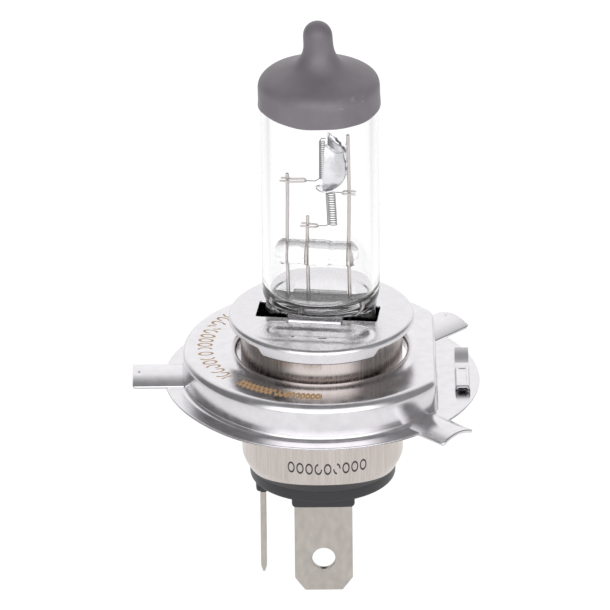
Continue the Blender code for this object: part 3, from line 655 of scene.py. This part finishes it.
def envelope_skin():
    """Dome, tube, and a foot whose round section eases into the flat pinch."""
    top = dome()
    share = shares(24)
    tube_z = np.linspace(SHOULDER_BASE, TUBE_BASE, 40)[1:]
    foot_z = TUBE_BASE - TUBE_ROUND * np.sin(share[1:] * math.pi / 2)
    foot_b = lerp(PINCH[1], GLASS_RADIUS, np.cos(share[1:] * math.pi / 2))
    foot_a = lerp(GLASS_RADIUS, PINCH[0], ease(share[1:] * 1.6))
    pinch_z = np.array([11.0, 8.0, 4.0, 0.0, PINCH_END + 0.2, PINCH_END + 0.05, PINCH_END, PINCH_END])
    shrink = np.array([1, 1, 1, 1, 1, 0.98, 0.93, 0.0])
    z = np.concatenate([top[:, 1], tube_z, foot_z, pinch_z])
    half_x = np.concatenate([top[:, 0], np.full(len(tube_z), GLASS_RADIUS), foot_a, PINCH[0] * shrink])
    half_y = np.concatenate([top[:, 0], np.full(len(tube_z), GLASS_RADIUS), foot_b, PINCH[1] * shrink])
    power = lerp(1.0, 0.35, ease((12.6 - z) / 1.6))
    return lean(loft(z, half_x, half_y, power))


def envelope_hollow():
    """The space inside: a domed top, a straight tube and a lens-shaped floor."""
    inner = GLASS_RADIUS - GLASS_WALL
    wide, high = SHOULDER_SIZE
    bend = np.radians(np.linspace(SHOULDER_SWEEP, 0.0, 10))
    roof_r = inner - wide + wide * np.cos(bend)
    roof_z = SHOULDER_BASE - GLASS_WALL + high * np.sin(bend)
    cone_r = np.linspace(0.0, roof_r[0], 8)[:-1]
    cone_z = roof_z[0] + CONE_SLOPE * (roof_r[0] - cone_r)
    tube_z = np.linspace(roof_z[-1], TUBE_BASE + 0.9, 30)[1:]
    share = shares(20)[1:]
    floor_z = lerp(TUBE_BASE + 0.9, CAVITY_FLOOR, np.sin(share * math.pi / 2))
    floor_b = lerp(0.7, inner, np.cos(share * math.pi / 2))
    floor_a = lerp(inner, 4.4, ease(share) ** 1.5)
    z = np.concatenate([cone_z, roof_z, tube_z, floor_z, [CAVITY_FLOOR - 0.1]])
    straight = np.concatenate([cone_r, roof_r, np.full(len(tube_z), inner)])
    half_x = np.concatenate([straight, floor_a, [0.0]])
    half_y = np.concatenate([straight, floor_b, [0.0]])
    return loft(z, half_x, half_y, np.ones_like(z))


def coat_shell(edge, ripple):
    """Coating: the dome's profile grown outwards, with low lumps, an uneven lower edge and an inner face."""
    theta = around(200)
    outer, inner = dome(COAT_GAP + COAT_WALL), dome(COAT_GAP)
    drop = shares(9)[1:]
    waves = np.sin(2 * theta + 0.6) + 0.5 * np.sin(5 * theta + 2.0) + 0.2 * np.sin(11 * theta)
    edge_z = edge + ripple * waves
    outer_r = outer[-1, 0] + 0.05 * ease((drop - 0.6) / 0.4)
    lip = np.radians(np.linspace(0.0, 180.0, 7))[1:-1]
    thick = (outer_r[-1] - inner[-1, 0]) / 2
    ones = np.ones_like(theta)
    radius = np.concatenate(
        [
            ones * outer[:, 0],
            ones * outer_r,
            ones * (inner[-1, 0] + thick + thick * np.cos(lip)),
            ones * np.full(2, inner[-1, 0]),
            ones * inner[::-1, 0],
        ],
        1,
    )
    height = np.concatenate(
        [
            ones * outer[:, 1],
            lerp(outer[-1, 1], edge_z, drop),
            edge_z - thick * np.sin(lip),
            lerp(edge_z, ones * inner[-1, 1], np.array([0.0, 0.5])),
            ones * inner[::-1, 1],
        ],
        1,
    )
    lump = 0.035 * np.sin(3 * theta + height * 0.9) * np.sin(height * 0.8 + 1.0)
    lump += 0.02 * np.sin(7 * theta + 1.3 + height * 0.5)
    radius = radius * (1 + lump * 0.12 * ease(radius / 3.0))
    return lean(stacked(radius * np.cos(theta), radius * np.sin(theta), height))


# Wires ---------------------------------------------------------------------------
def coil_path(middle, radius, depth, heights, foot, head, turns):
    """Oval helix round a slightly leaning line, with a leg from its foot point and one to its head point.

    A leg is straight seen from above, and its height eases from the one end's to the other's.
    """
    count = turns * COIL_STEPS
    share = shares(count)
    turn = share * turns * 2 * math.pi
    helix = stacked(lerp(*middle, share) - radius * np.cos(turn), depth * np.sin(turn), lerp(*heights, share))
    share = shares(16)[:-1, None]
    leg = lerp(np.array(foot), helix[0], share)
    leg[:, 2] = lerp(foot[2], helix[0, 2], ease(share[:, 0] * 3 - 2))
    out = lerp(helix[-1], np.array(head), share + 1 / 15)
    out[:, 2] = lerp(helix[-1, 2], head[2], ease(share[:, 0] * 3))
    return np.concatenate([leg, helix, out])


def lead_path(x, foot, top, sway):
    """Upright wire with a slow sideways sway: a sine of its height."""
    z = np.linspace(foot, top, 40)
    return stacked(x + sway * np.sin((z - foot) * 0.35), sway * np.sin(z * 0.27), z)


def arm_path(x, z, end):
    """Hairpin: two straight sides joined by a half circle at the end that faces the filament."""
    side = math.copysign(1.0, end - x)
    bend = np.linspace(-math.pi / 2, math.pi / 2, 17)
    turn_x = end - side * ARM_BEND + side * ARM_BEND * np.cos(bend)
    turn_y = ARM_BEND * np.sin(bend)
    free = x - side * ARM_OVERHANG
    legs = shares(14)[:-1]
    xs = np.concatenate([lerp(free, turn_x[0], legs), turn_x, lerp(turn_x[-1], free, legs + 1 / 13)])
    ys = np.concatenate([np.full(13, -ARM_BEND), turn_y, np.full(13, ARM_BEND)])
    return stacked(xs, ys, z + 0.04 * np.sin(xs * 2.0))


def bead_bar():
    """Quartz rod along X: its radius dips between swollen ends and swells a little round each lead."""
    left, right = BAR_ENDS
    share = shares(90)
    x = lerp(left, right, share)
    end = np.sqrt(np.clip(1 - np.clip(1 - np.minimum(x - left, right - x) / 1.5, 0, 1) ** 2, 0, 1))
    swell = 1.0 + 0.05 * np.cos(2 * math.pi * share * 2.0) + 0.03 * np.sin(x * 3.1)
    theta = around(64)
    radius = BAR_RADIUS * end * np.clip(swell, 0.8, 1.06) * 0.95
    return stacked(x, radius * np.cos(theta), BAR_Z + radius * np.sin(theta))


def shield_cup():
    """Half cup open to -X: half-elliptic sections that grow from the foot by a rounded power.

    The rim leans a little and the cup narrows again towards its slanted top, where a lip
    with a wavy edge turns outwards.
    """
    phi = np.radians(np.linspace(-90.0, 90.0, 91))[:, None]
    share = shares(80) ** 1.2
    foot = 28.6
    top = 36.8 - 1.9 * np.cos(phi)
    z = foot + (top - foot) * share
    grown = (1 - (1 - np.clip((z - foot) / 2.9, 0, 1)) ** 1.9) ** (1 / 1.9)
    grown *= 1 - 0.035 * np.clip((z - 31.8) / 1.5, 0, 3) ** 2
    curl = ease((share - 0.9) / 0.1)
    wave = 1 + 0.35 * np.sin(phi * 7 + 0.8) + 0.2 * np.sin(phi * 19)
    rim = 0.47 + 0.42 * (z - foot) / 8.0
    x = rim + ((3.58 - rim) * grown + 0.4 * curl * wave) * np.cos(phi)
    y = (2.3 * grown + 0.4 * curl * wave) * np.sin(phi)
    return stacked(x, y, z - 0.2 * curl * curl)


def shield_leaf():
    """Tongue under the rim: half an ellipse seen from above, curling up a little at its end."""
    along = shares(24)[None, :]
    across = np.linspace(-1.0, 1.0, 25)[:, None]
    half = 1.15 * np.sqrt(1 - along**2 * 0.999)
    return stacked(0.75 - 1.4 * along + 0 * across, across * half, 28.75 + 0.35 * along**3 + 0.1 * across**2)


def weld_beads():
    """Strap that joins the cup to its lead: an upright bar pinched where each weld was struck."""
    z = np.linspace(31.1, 35.9, 70)
    ends = np.sqrt(np.clip(1 - (2 * (z - 31.1) / 4.8 - 1) ** 8, 0, 1))
    pinch = 0.05 + 0.13 * np.cos(math.pi * (z - 31.4) / 1.45) ** 2
    bar = loft(z, pinch * ends, 0.4 * ends, np.ones_like(z), 24)
    return bar + np.array((3.62, 0.0, 0.0))


# Base metalwork ------------------------------------------------------------------
def ring_radius(theta):
    """Soft minimum of a circle and a flat: the inverse of the root of the summed inverse powers."""
    flat = RING_FLAT / np.clip(np.cos(theta), 0.05, 1.0)
    power = 60.0
    return (RING_RADIUS**-power + flat**-power) ** (-1 / power)


def tab_window(theta):
    """1 inside a weld tab's width and 0 outside, with a short ramp."""
    window = np.zeros_like(theta)
    for angle in TAB_ANGLES:
        away = np.abs((theta - math.radians(angle) + math.pi) % (2 * math.pi) - math.pi) * RING_BORE
        window = np.maximum(window, ease((TAB_WIDTH / 2 + 0.1 - away) / 0.2))
    return window


def pressed(x, y):
    """Depth of the pressed ramp in front of the bridge: a step down, then a slow rise as y falls."""
    low, high = STRIP
    across = ease((x - low) / 0.12) * ease((high - x) / 0.12)
    return 0.16 * across * ease((-3.4 - y) / 0.3) * (1 - ease((-4.3 - y) / 3.4))


def flange_section():
    """One sheet from the bore's tabs and lip over the ring, down its wall and out to the flange's edge."""
    theta = around(900)
    rho = ring_radius(theta)
    tab = tab_window(theta)
    ones = np.ones_like(theta)
    share = shares(8)[:-1]
    left = np.abs(theta - math.radians(172.0)) * RING_BORE
    tab_low = lerp(LIP_BOTTOM, TAB_BOTTOM, np.maximum(tab, 1 - ease((left - 6.0) / 3.0)))
    seat = lerp(RING_BORE, TAB_SEAT, tab)
    bend = np.linspace(0.0, math.pi / 2, 8)
    plate = shares(24)[1:-1]
    flange = shares(46)[1:]
    edge = np.linspace(0.0, math.pi / 2, 5)[1:]
    radii = [
        lerp(seat, RING_BORE * ones, ease(share * 1.5 - 0.5)),
        ones * (RING_BORE + LIP_ROUND * (1 - np.cos(bend))),
        lerp(ones * (RING_BORE + LIP_ROUND), rho - RING_FILLET, plate),
        rho - RING_FILLET + RING_FILLET * np.sin(bend),
        rho * np.ones(4),
        rho + FOOT_FILLET * (1 - np.cos(bend)),
        lerp(rho + FOOT_FILLET, ones * (FLANGE_RADIUS - 0.15), flange),
        ones * (FLANGE_RADIUS - 0.15 + 0.15 * np.sin(edge)),
    ]
    heights = [
        lerp(tab_low, (RING_TOP + LIP_CREST - LIP_ROUND) * ones, share),
        ones * (RING_TOP + LIP_CREST - LIP_ROUND + LIP_ROUND * np.sin(bend)),
        ones * (RING_TOP + LIP_CREST * (1 - ease(plate / 0.3))),
        ones * (RING_TOP - RING_FILLET + RING_FILLET * np.cos(bend)),
        ones * lerp(RING_TOP - RING_FILLET, FOOT_FILLET, np.linspace(0.2, 0.8, 4)),
        ones * (FOOT_FILLET - FOOT_FILLET * np.sin(bend)),
        ones * (0 * flange),
        ones * (0.15 * (np.cos(edge) - 1)),
    ]
    radius, height = np.concatenate(radii, 1), np.concatenate(heights, 1)
    x, y = radius * np.cos(theta), radius * np.sin(theta)
    outside = ease((radius - rho + 0.05) / 0.04)
    left = ease((-x / radius - 0.45) / 0.55)
    front = ease((-y / radius - 0.3) / 0.5)
    lift = (FLANGE_LIFT * left + 0.12 * front) * outside * (1 - ease(height / 3.0))
    return stacked(x, y, height - pressed(x, y) * outside + lift)


def lug_strip(angle, rise):
    """Arched tongue: its height falls with the square of the distance from its middle line."""
    width, lift = LUGS[angle]
    u = shares(60)[None, :]
    v = np.linspace(-1.0, 1.0, 41)[:, None]
    half = width / 2
    corner = 0.35
    reach = LUG_REACH - corner * (1 - np.sqrt(np.clip(1 - np.clip((np.abs(v) - 0.9) / 0.1, 0, 1) ** 2, 0, 1)))
    x = lerp(RING_RADIUS - 0.25, reach, u)
    arch = rise * (1 - v**2)
    depth = 0.0 if angle < 0 else 0.16
    dimple = depth * np.exp(-(((x - 24.9) / 0.28) ** 2) - ((v * half - 0.6) / 0.3) ** 2)
    z = arch + lift * np.ones_like(u) - dimple
    return stacked(x, v * half + 0 * u, z)


def bridge_strip():
    """Raised strip beside the ring's flat: a slope at the rear, then a level plate with rounded sides."""
    y = np.linspace(-4.1, 7.6, 160)[None, :]
    u = np.linspace(-1.0, 1.0, 41)[:, None]
    low, high = STRIP
    end = np.sqrt(np.clip(1 - np.clip((-3.2 - y) / 0.9, 0, 1) ** 4, 0, 1))
    half = (high - low) / 2 * (0.8 + 0.2 * end)
    slope = 0.12 + 0.75 * ease((y - 3.6) / 4.2)
    plate = 0.62 * ease((3.2 - y) / 1.6)
    round_side = 0.3 * ease((np.abs(u) - 0.72) / 0.28) ** 2 * ease((3.2 - y) / 1.6)
    sunk = 0.1 * ease((0.62 - np.abs(u)) / 0.15) * ease((1.6 - y) / 0.4) * ease((y + 3.2) / 0.4)
    front = 0.3 * (1 - end)
    height = slope + plate - round_side - sunk - front
    return stacked((low + high) / 2 + half * u, y + 0 * u, height)


def sleeve_profile():
    """Closed section of the drawn sleeve: flared top, straight wall and crimped foot."""
    outer, inner = SLEEVE_RADIUS, SLEEVE_RADIUS - SLEEVE_WALL
    return filleted(
        [
            (outer + 0.8, SLEEVE_TOP, 0.12),
            (outer + 0.8, SLEEVE_TOP - 0.4, 0.15),
            (outer, SLEEVE_TOP - 0.8, 0.3),
            (outer, 0.0, 0.0),
            (outer, SLEEVE_BOTTOM, 0.7),
            (CRIMP_RADIUS + 0.05, CRIMP_BOTTOM, 0.15),
            (CRIMP_RADIUS - 0.35, CRIMP_BOTTOM, 0.1),
            (inner, SLEEVE_BOTTOM + 0.1, 0.5),
            (inner, SLEEVE_TOP, 0.1),
        ],
        closed=True,
    )


def slot_edge(theta):
    """Distance from the axis to the slot's edge: a superellipse of high power."""
    power = 30.0
    turned_by = theta - math.radians(GLASS_TURN)
    half_x = SLOT[0] + SLOT_X * np.sign(np.cos(turned_by))
    x, y = np.abs(np.cos(turned_by) / half_x), np.abs(np.sin(turned_by) / SLOT[1])
    return (x**power + y**power) ** (-1 / power)


def embossed(x, y, depth):
    """Pressed mark: a raised oval pad with a pill-shaped valley in its middle."""
    turn = math.radians(GLASS_TURN)
    across = x * math.cos(turn) + y * math.sin(turn) + 0.3
    along = y * math.cos(turn) - x * math.sin(turn) + 6.8
    away = np.hypot(np.clip(np.abs(across) - 4.7, 0, None), along)
    valley = ease((1.55 - away) / 0.9)
    pad_away = np.hypot(np.clip(np.abs(across) - 5.2, 0, None), along)
    pad = ease((3.3 - pad_away) / 0.9)
    return depth * (0.7 * pad - 1.2 * valley)


def disc_sheet(depth):
    """Holder disc from its slot out over the rim and down the skirt, whose foot is cut into tabs."""
    theta = around(480)
    inner = slot_edge(theta)
    rim = DISC_RADIUS - DISC_ROUND
    ones = np.ones_like(theta)
    plate = shares(64)
    bend = np.linspace(0.0, math.pi / 2, 9)[1:]
    side = np.abs(DISC_RADIUS * np.cos(theta) + 0.5)
    notch = ease((side - SKIRT_TAB + 0.3) / 0.9)
    foot = lerp(SKIRT_BOTTOM * ones, SKIRT_NOTCH_TOP * ones, notch)
    drop = shares(8)[1:]
    radius = np.concatenate(
        [
            lerp(inner, rim * ones, plate),
            ones * (rim + DISC_ROUND * np.sin(bend)),
            ones * np.full(len(drop), DISC_RADIUS),
        ],
        1,
    )
    height = np.concatenate(
        [
            ones * np.full(len(plate), DISC_TOP),
            ones * (DISC_TOP - DISC_ROUND + DISC_ROUND * np.cos(bend)),
            lerp((DISC_TOP - DISC_ROUND) * ones, foot, drop),
        ],
        1,
    )
    x, y = radius * np.cos(theta), radius * np.sin(theta)
    flat = 1 - ease((radius - rim + 0.4) / 0.4)
    return stacked(x, y, height + embossed(x, y, depth) * flat)


def clamp_sheet(side):
    """Spring tongue: an upright leg on the pinch that curls out onto the holder disc."""
    corners = [(1.95, 7.6, 0), (1.95, 11.3, 0.15), (2.1, 11.55, 0.15), (3.6, 10.75, 0.3), (4.2, 10.35, 0)]
    line = filleted(corners)
    u = np.linspace(-1.0, 1.0, 41)[:, None]
    share = shares(len(line))
    half = CLAMP_WIDTH / 2 * (1 - 0.03 * ease((share - 0.75) / 0.25))
    return stacked(CLAMP_X + u * half, side * line[:, 0] + 0 * u, line[:, 1] + 0 * u)


# Insulator and blades ------------------------------------------------------------
def insulator_profile():
    """Half section of the insulator: a plug inside the crimp and a rim under it."""
    plug = CRIMP_RADIUS - 0.7
    return filleted(
        [
            (0.0, INSULATOR_TOP, 0),
            (plug, INSULATOR_TOP, 0.2),
            (plug, CRIMP_BOTTOM - 0.02, 0.05),
            (INSULATOR_RADIUS, CRIMP_BOTTOM - 0.02, 0.04),
            (INSULATOR_RADIUS, INSULATOR_BOTTOM, 0.45),
            (0.0, INSULATOR_BOTTOM, 0),
        ]
    )


def boss_block():
    """Boss round a blade's root: superellipse sections that shrink at the foot, on the +X side."""
    z = np.array([-13.4, -13.4, -14.0, -14.6, -14.85, -14.97, BOSS_BOTTOM, BOSS_BOTTOM])
    size = np.array([0.0, 1.0, 1.0, 1.0, 0.985, 0.96, 0.92, 0.0])
    block = loft(z, 1.15 * size, 4.3 * size, np.full(len(z), 0.3), 96)
    return block + np.array((BLADE_OFFSET - 0.15, 0.0, 0.0))


def blade_reach(theta):
    """Distance from the hole's centre to the blade's outline: the nearest of its straight edges.

    The body and the narrower root are convex outlines round the same centre, so the
    further of the two at each angle is the outline of both together.
    """
    across, up = np.cos(theta), np.sin(theta)
    bottom, shoulder, top = HOLE_Z - BLADE_END, BOSS_BOTTOM - 0.15 - HOLE_Z, BLADE_TOP - HOLE_Z

    def nearest(edges):
        """Smallest distance along each angle to edges given by their normal and their own distance."""
        gaps = [far / np.clip(a * across + b * up, 1e-6, None) for a, b, far in edges]
        return np.minimum.reduce(gaps)

    slope = math.hypot(2.0, 1.4)
    cut = (BLADE_HALF * 2.0 + bottom * 1.4 - 2.0 * 1.4) / slope
    sides = [(1, 0, BLADE_HALF), (-1, 0, BLADE_HALF), (0, -1, bottom), (0, 1, shoulder)]
    corners = [(2.0 / slope, -1.4 / slope, cut), (-2.0 / slope, -1.4 / slope, cut)]
    root = [(1, 0, BLADE_ROOT), (-1, 0, BLADE_ROOT), (0, -1, bottom), (0, 1, top)]
    return np.maximum(nearest(sides + corners), nearest(root))


def blade_body():
    """Closed band: out over the front face, round the edge, back over the rear face and through the hole."""
    theta = around(720)
    reach = blade_reach(theta)
    half = BLADE_SHEET / 2
    rings = [(0.0, 0.0, half - 0.06), (0.0, 0.06, half)]
    rings += [(share, 0.06 * (1 - share), half) for share in (0.15, 0.4, 0.7, 0.9)]
    rings += [(1.0, -0.07, half), (1.0, 0.0, half - 0.07)]
    rings += [(share, inset, -depth) for share, inset, depth in rings[::-1]]
    share, inset, depth = (np.array(values) for values in zip(*rings))
    radius = lerp(HOLE_RADIUS, reach, share) + inset
    y, z = radius * np.cos(theta), HOLE_Z + radius * np.sin(theta)
    coin = 1 - 0.55 * ease((BLADE_END + 1.5 - z) / 1.5)
    return stacked(BLADE_OFFSET + depth * coin, y, z)


# Operators -----------------------------------------------------------------------
class BuildEnvelope(bpy.types.Operator):
    """Glass envelope with its hollow, and the coating over its dome"""

    bl_idname = "bulb.build_envelope"
    bl_label = "Envelope and coating"

    def execute(self, context):
        sizes, colours = context.scene.bulb_sizes, context.scene.bulb_colours
        hollow = solid(envelope_hollow(), hollow=True)
        skins = [spin(made, GLASS_TURN) for made in (solid(envelope_skin()), hollow)]
        piece("quartz_envelope", skins, quartz(colours), ["glass_bulb"], sharp=50.0)
        shell = solid(coat_shell(sizes.coat_edge / MM, sizes.coat_ripple / MM))
        piece("dome_coating", [shell], coating(colours), ["top_coating"], sharp=60.0)
        return {"FINISHED"}


class BuildWires(bpy.types.Operator):
    """Filament coils, leads, hairpin arms and the quartz bridge bar"""

    bl_idname = "bulb.build_wires"
    bl_label = "Wires and bridge bar"

    def execute(self, context):
        sizes, colours = context.scene.bulb_sizes, context.scene.bulb_colours
        wire = sizes.wire / MM
        tungsten = metal("Tungsten wire, wound", colours.tungsten, 0.4, 0.2)[0]
        drawn = metal("Molybdenum wire, drawn", colours.molybdenum, 0.32, 0.3, (1, 1, 6))[0]
        up = (0.0, 0.0, 1.0)
        counts = {"low_beam": sizes.low_turns, "high_beam": sizes.high_turns}
        for name, shape in COILS.items():
            coil = spin(tube(coil_path(*shape, counts[name]), wire, 8, up), GLASS_TURN)
            piece(f"{name}_coil", [coil], tungsten, [f"{name}_filament"])
        for name, (x, top) in LEADS.items():
            path = lead_path(x, LEAD_FOOT, top, 0.05)
            lead = spin(tube(path, LEAD_RADIUS), GLASS_TURN)
            piece(f"{name}_lead_wire", [lead], drawn, [f"lead_{name}"])
            height, end = ARMS[name]
            hairpin = spin(tube(arm_path(x, height, end), ARM_RADIUS, 12, up), GLASS_TURN)
            piece(f"{name}_hairpin", [hairpin], drawn, [f"arm_{name}"])
        bar = spin(solid(bead_bar()), GLASS_TURN)
        bead = quartz(colours, "Quartz glass, flame worked")
        piece("quartz_bead_bar", [bar], bead, ["bridge_bar"], sharp=60.0)
        return {"FINISHED"}


class BuildShield(bpy.types.Operator):
    """Drawn cup beside the low-beam coil"""

    bl_idname = "bulb.build_shield"
    bl_label = "Beam shield"

    def execute(self, context):
        colours = context.scene.bulb_colours
        finish = metal("Molybdenum sheet, deep drawn", colours.shield, 0.22, 0.8, depth=0.01)[0]
        cup = [sheet(shield_cup(), (1, 0, 0)), sheet(shield_leaf(), (0, 0, -1))]
        cup = [spin(made, GLASS_TURN) for made in cup]
        piece("shield_cup", cup, finish, ["beam_shield"], wall=SHIELD_SHEET)
        beads = spin(solid(weld_beads()), GLASS_TURN)
        piece("shield_welds", [beads], finish, ["beam_shield"])
        return {"FINISHED"}


class BuildRing(bpy.types.Operator):
    """Flange, ring, lugs and pressed bridge as one sheet"""

    bl_idname = "bulb.build_ring"
    bl_label = "Flange ring"

    def execute(self, context):
        sizes, colours = context.scene.bulb_sizes, context.scene.bulb_colours
        rise = sizes.lug_rise / MM
        sheets = [sheet(flange_section(), (0, 0, 1), wrap_u=True), sheet(bridge_strip(), (0, 0, 1))]
        sheets += [spin(sheet(lug_strip(angle, rise), (0, 0, 1)), angle) for angle in LUGS]
        finish = ring_steel(colours)
        piece("pressed_ring", sheets, finish, ["flange_ring"], wall=FLANGE_SHEET)
        return {"FINISHED"}


class BuildBase(bpy.types.Operator):
    """Sleeve, holder disc and the two pinch clamps"""

    bl_idname = "bulb.build_base"
    bl_label = "Sleeve, disc and clamps"

    def execute(self, context):
        sizes, colours = context.scene.bulb_sizes, context.scene.bulb_colours
        sleeve = turned(sleeve_profile(), 256, wrap_v=True)
        piece("drawn_sleeve", [sleeve], sleeve_steel(colours), ["base_shell"])
        steel = disc_steel(colours)
        disc = sheet(disc_sheet(sizes.emboss / MM), (0, 0, 1), wrap_u=True)
        piece("pressed_disc", [disc], steel, ["holder_disc"], wall=DISC_SHEET)
        for name, side in (("front", -1), ("rear", 1)):
            tongue = spin(sheet(clamp_sheet(side), (0, side, 0.2)), GLASS_TURN)
            node = f"pinch_clamp_{name}"
            piece(f"{name}_spring_tongue", [tongue], steel, [node], wall=CLAMP_SHEET)
        return {"FINISHED"}


class BuildConnector(bpy.types.Operator):
    """Moulded insulator and the three terminal blades"""

    bl_idname = "bulb.build_connector"
    bl_label = "Insulator and blades"

    def execute(self, context):
        colours = context.scene.bulb_colours
        body = [turned(insulator_profile(), 200)]
        body += [spin(solid(boss_block()), angle) for angle in BLADES.values()]
        piece("moulded_insulator", body, plastic(colours), ["insulator"])
        finish = metal("Tinned brass strip, blanked", colours.blade, 0.36, 0.8, (1, 1, 2), 0.002, 0.08)[0]
        for name, angle in BLADES.items():
            blade = spin(solid(blade_body(), wrap_v=True), angle)
            piece(f"{name}_blade", [blade], finish, [f"terminal_{name}"])
        return {"FINISHED"}


class FinishHidden(bpy.types.Operator):
    """Materials of the CAD parts that stay: foils in the pinch and the wires under it"""

    bl_idname = "bulb.finish_hidden"
    bl_label = "Foils and outer leads"

    def execute(self, context):
        colours = context.scene.bulb_colours
        foil = metal("Molybdenum foil, rolled", colours.molybdenum, 0.25, 0.4, (1, 1, 5))[0]
        wire = metal("Nickel wire, drawn", colours.molybdenum, 0.35, 0.3)[0]
        for name in LEADS:
            for node, finish in ((f"foil_{name}", foil), (f"outer_lead_{name}", wire)):
                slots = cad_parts[node].material_slots
                for slot in slots:
                    slot.material = finish
                if not slots:
                    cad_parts[node].data.materials.append(finish)
        return {"FINISHED"}


class BuildStage(bpy.types.Operator):
    """Floor, light from all round and the camera"""

    bl_idname = "bulb.build_stage"
    bl_label = "Stage"

    def execute(self, context):
        stage = context.scene.bulb_stage
        build_floor(stage)
        build_world(context.scene, stage)
        build_camera(context.scene)
        return {"FINISHED"}


# Stage ---------------------------------------------------------------------------
def build_floor(stage):
    """Floor that gives out light, so that it stays nearly white; the glow fades far out to the sides."""
    made, tree, shader = material("Pale painted floor", stage.floor, Roughness=0.9)
    shader.inputs["Specular IOR Level"].default_value = 0.0
    shader.inputs["Emission Color"].default_value = (1.0, 1.0, 1.0, 1.0)
    out = maths(tree, "ABSOLUTE", position(tree)[0])
    glow = spread(tree, out, stage.floor_glow, stage.floor_glow * stage.floor_sides, GLOW_NEAR, GLOW_FAR)
    tree.links.new(glow, shader.inputs["Emission Strength"])
    span = np.linspace(-FLOOR_HALF, FLOOR_HALF, 5)
    x, y = np.meshgrid(span, span, indexing="ij")
    piece("floor", [sheet(stacked(x, y, FLOOR_Z), (0, 0, 1))], made, [])


def build_world(scene, stage):
    """Studio light by direction: brightest in front, bright behind, darker at the sides and overhead."""
    world = bpy.data.worlds.new("Soft studio")
    world.use_nodes = True
    tree = world.node_tree
    tree.nodes.clear()
    direction = add(tree, "ShaderNodeTexCoord").outputs["Generated"]
    x, y, z = add(tree, "ShaderNodeSeparateXYZ", {"Vector": direction}).outputs
    level = maths(tree, "SQRT", maths(tree, "SUBTRACT", 1.0, maths(tree, "MULTIPLY", z, z)))
    level = maths(tree, "MAXIMUM", level, 0.001)
    middle = spread(tree, maths(tree, "DIVIDE", y, level), stage.front, stage.back, -0.3, 0.3)
    sideways = maths(tree, "DIVIDE", x, level)
    left, right = spread(tree, sideways, 0.0, 1.0, -0.6, -0.85), spread(tree, sideways, 0.0, 1.0, 0.6, 0.85)
    side = maths(tree, "MAXIMUM", left, right)
    edge = spread(tree, sideways, stage.left, stage.right, -0.1, 0.1)
    around_z = add(tree, "ShaderNodeMix", {"Factor": side, "A": middle, "B": edge}).outputs[0]
    above = spread(tree, z, 0.0, 1.0, 0.68, 0.92)
    strength = add(tree, "ShaderNodeMix", {"Factor": above, "A": around_z}, {"B": stage.overhead}).outputs[0]
    light = add(tree, "ShaderNodeBackground", {"Strength": strength}, {"Color": (1.0, 1.0, 1.0, 1.0)})
    add(tree, "ShaderNodeOutputWorld", {"Surface": light.outputs[0]})
    scene.world = world


def build_camera(scene):
    """Long lens from the front, looking down at the object with a slight roll."""
    down, roll = math.radians(CAMERA_DOWN), math.radians(CAMERA_ROLL)
    forward = Vector((0.0, math.cos(down), -math.sin(down)))
    up = Vector((0.0, math.sin(down), math.cos(down)))
    right = Vector((1.0, 0.0, 0.0))
    side = right * math.cos(roll) - up * math.sin(roll)
    rise = right * math.sin(roll) + up * math.cos(roll)
    place = (side * CAMERA_SHIFT[0] + rise * CAMERA_SHIFT[1] - forward * CAMERA_AWAY) * MM
    lens = bpy.data.cameras.new("Camera")
    lens.lens = CAMERA_LENS
    lens.sensor_width = 36.0
    lens.clip_end = 100.0
    made = bpy.data.objects.new("Camera", lens)
    columns = Matrix((side, rise, -forward)).transposed()
    made.matrix_world = Matrix.Translation(place) @ columns.to_4x4()
    scene.collection.objects.link(made)
    scene.camera = made
    scene.view_settings.view_transform = "Standard"


class BulbPanel(bpy.types.Panel):
    """Settings and steps of the bulb"""

    bl_idname = "VIEW3D_PT_bulb"
    bl_label = "Headlight bulb"
    bl_space_type = "VIEW_3D"
    bl_region_type = "UI"
    bl_category = "Bulb"

    def draw(self, context):
        layout = self.layout
        for group in (context.scene.bulb_sizes, context.scene.bulb_colours, context.scene.bulb_stage):
            box = layout.box()
            for name in group.__annotations__:
                box.prop(group, name)
        for step in STEPS:
            layout.operator(step.bl_idname)


GROUPS = {"bulb_sizes": BulbSizes, "bulb_colours": BulbColours, "bulb_stage": BulbStage}
BUILDERS = (BuildEnvelope, BuildWires, BuildShield, BuildRing, BuildBase, BuildConnector)
STEPS = (*BUILDERS, FinishHidden, BuildStage)


def register():
    for made in (*GROUPS.values(), *STEPS, BulbPanel):
        bpy.utils.register_class(made)
    for name, group in GROUPS.items():
        setattr(bpy.types.Scene, name, PointerProperty(type=group))


def unregister():
    for name in GROUPS:
        delattr(bpy.types.Scene, name)
    for made in (BulbPanel, *STEPS, *GROUPS.values()):
        bpy.utils.unregister_class(made)


def main():
    register()
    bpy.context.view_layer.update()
    for step in STEPS:
        category, name = step.bl_idname.split(".")
        if getattr(getattr(bpy.ops, category), name)() != {"FINISHED"}:
            raise RuntimeError(f"{step.bl_label} wasn't built")


if __name__ == "__main__":
    main()
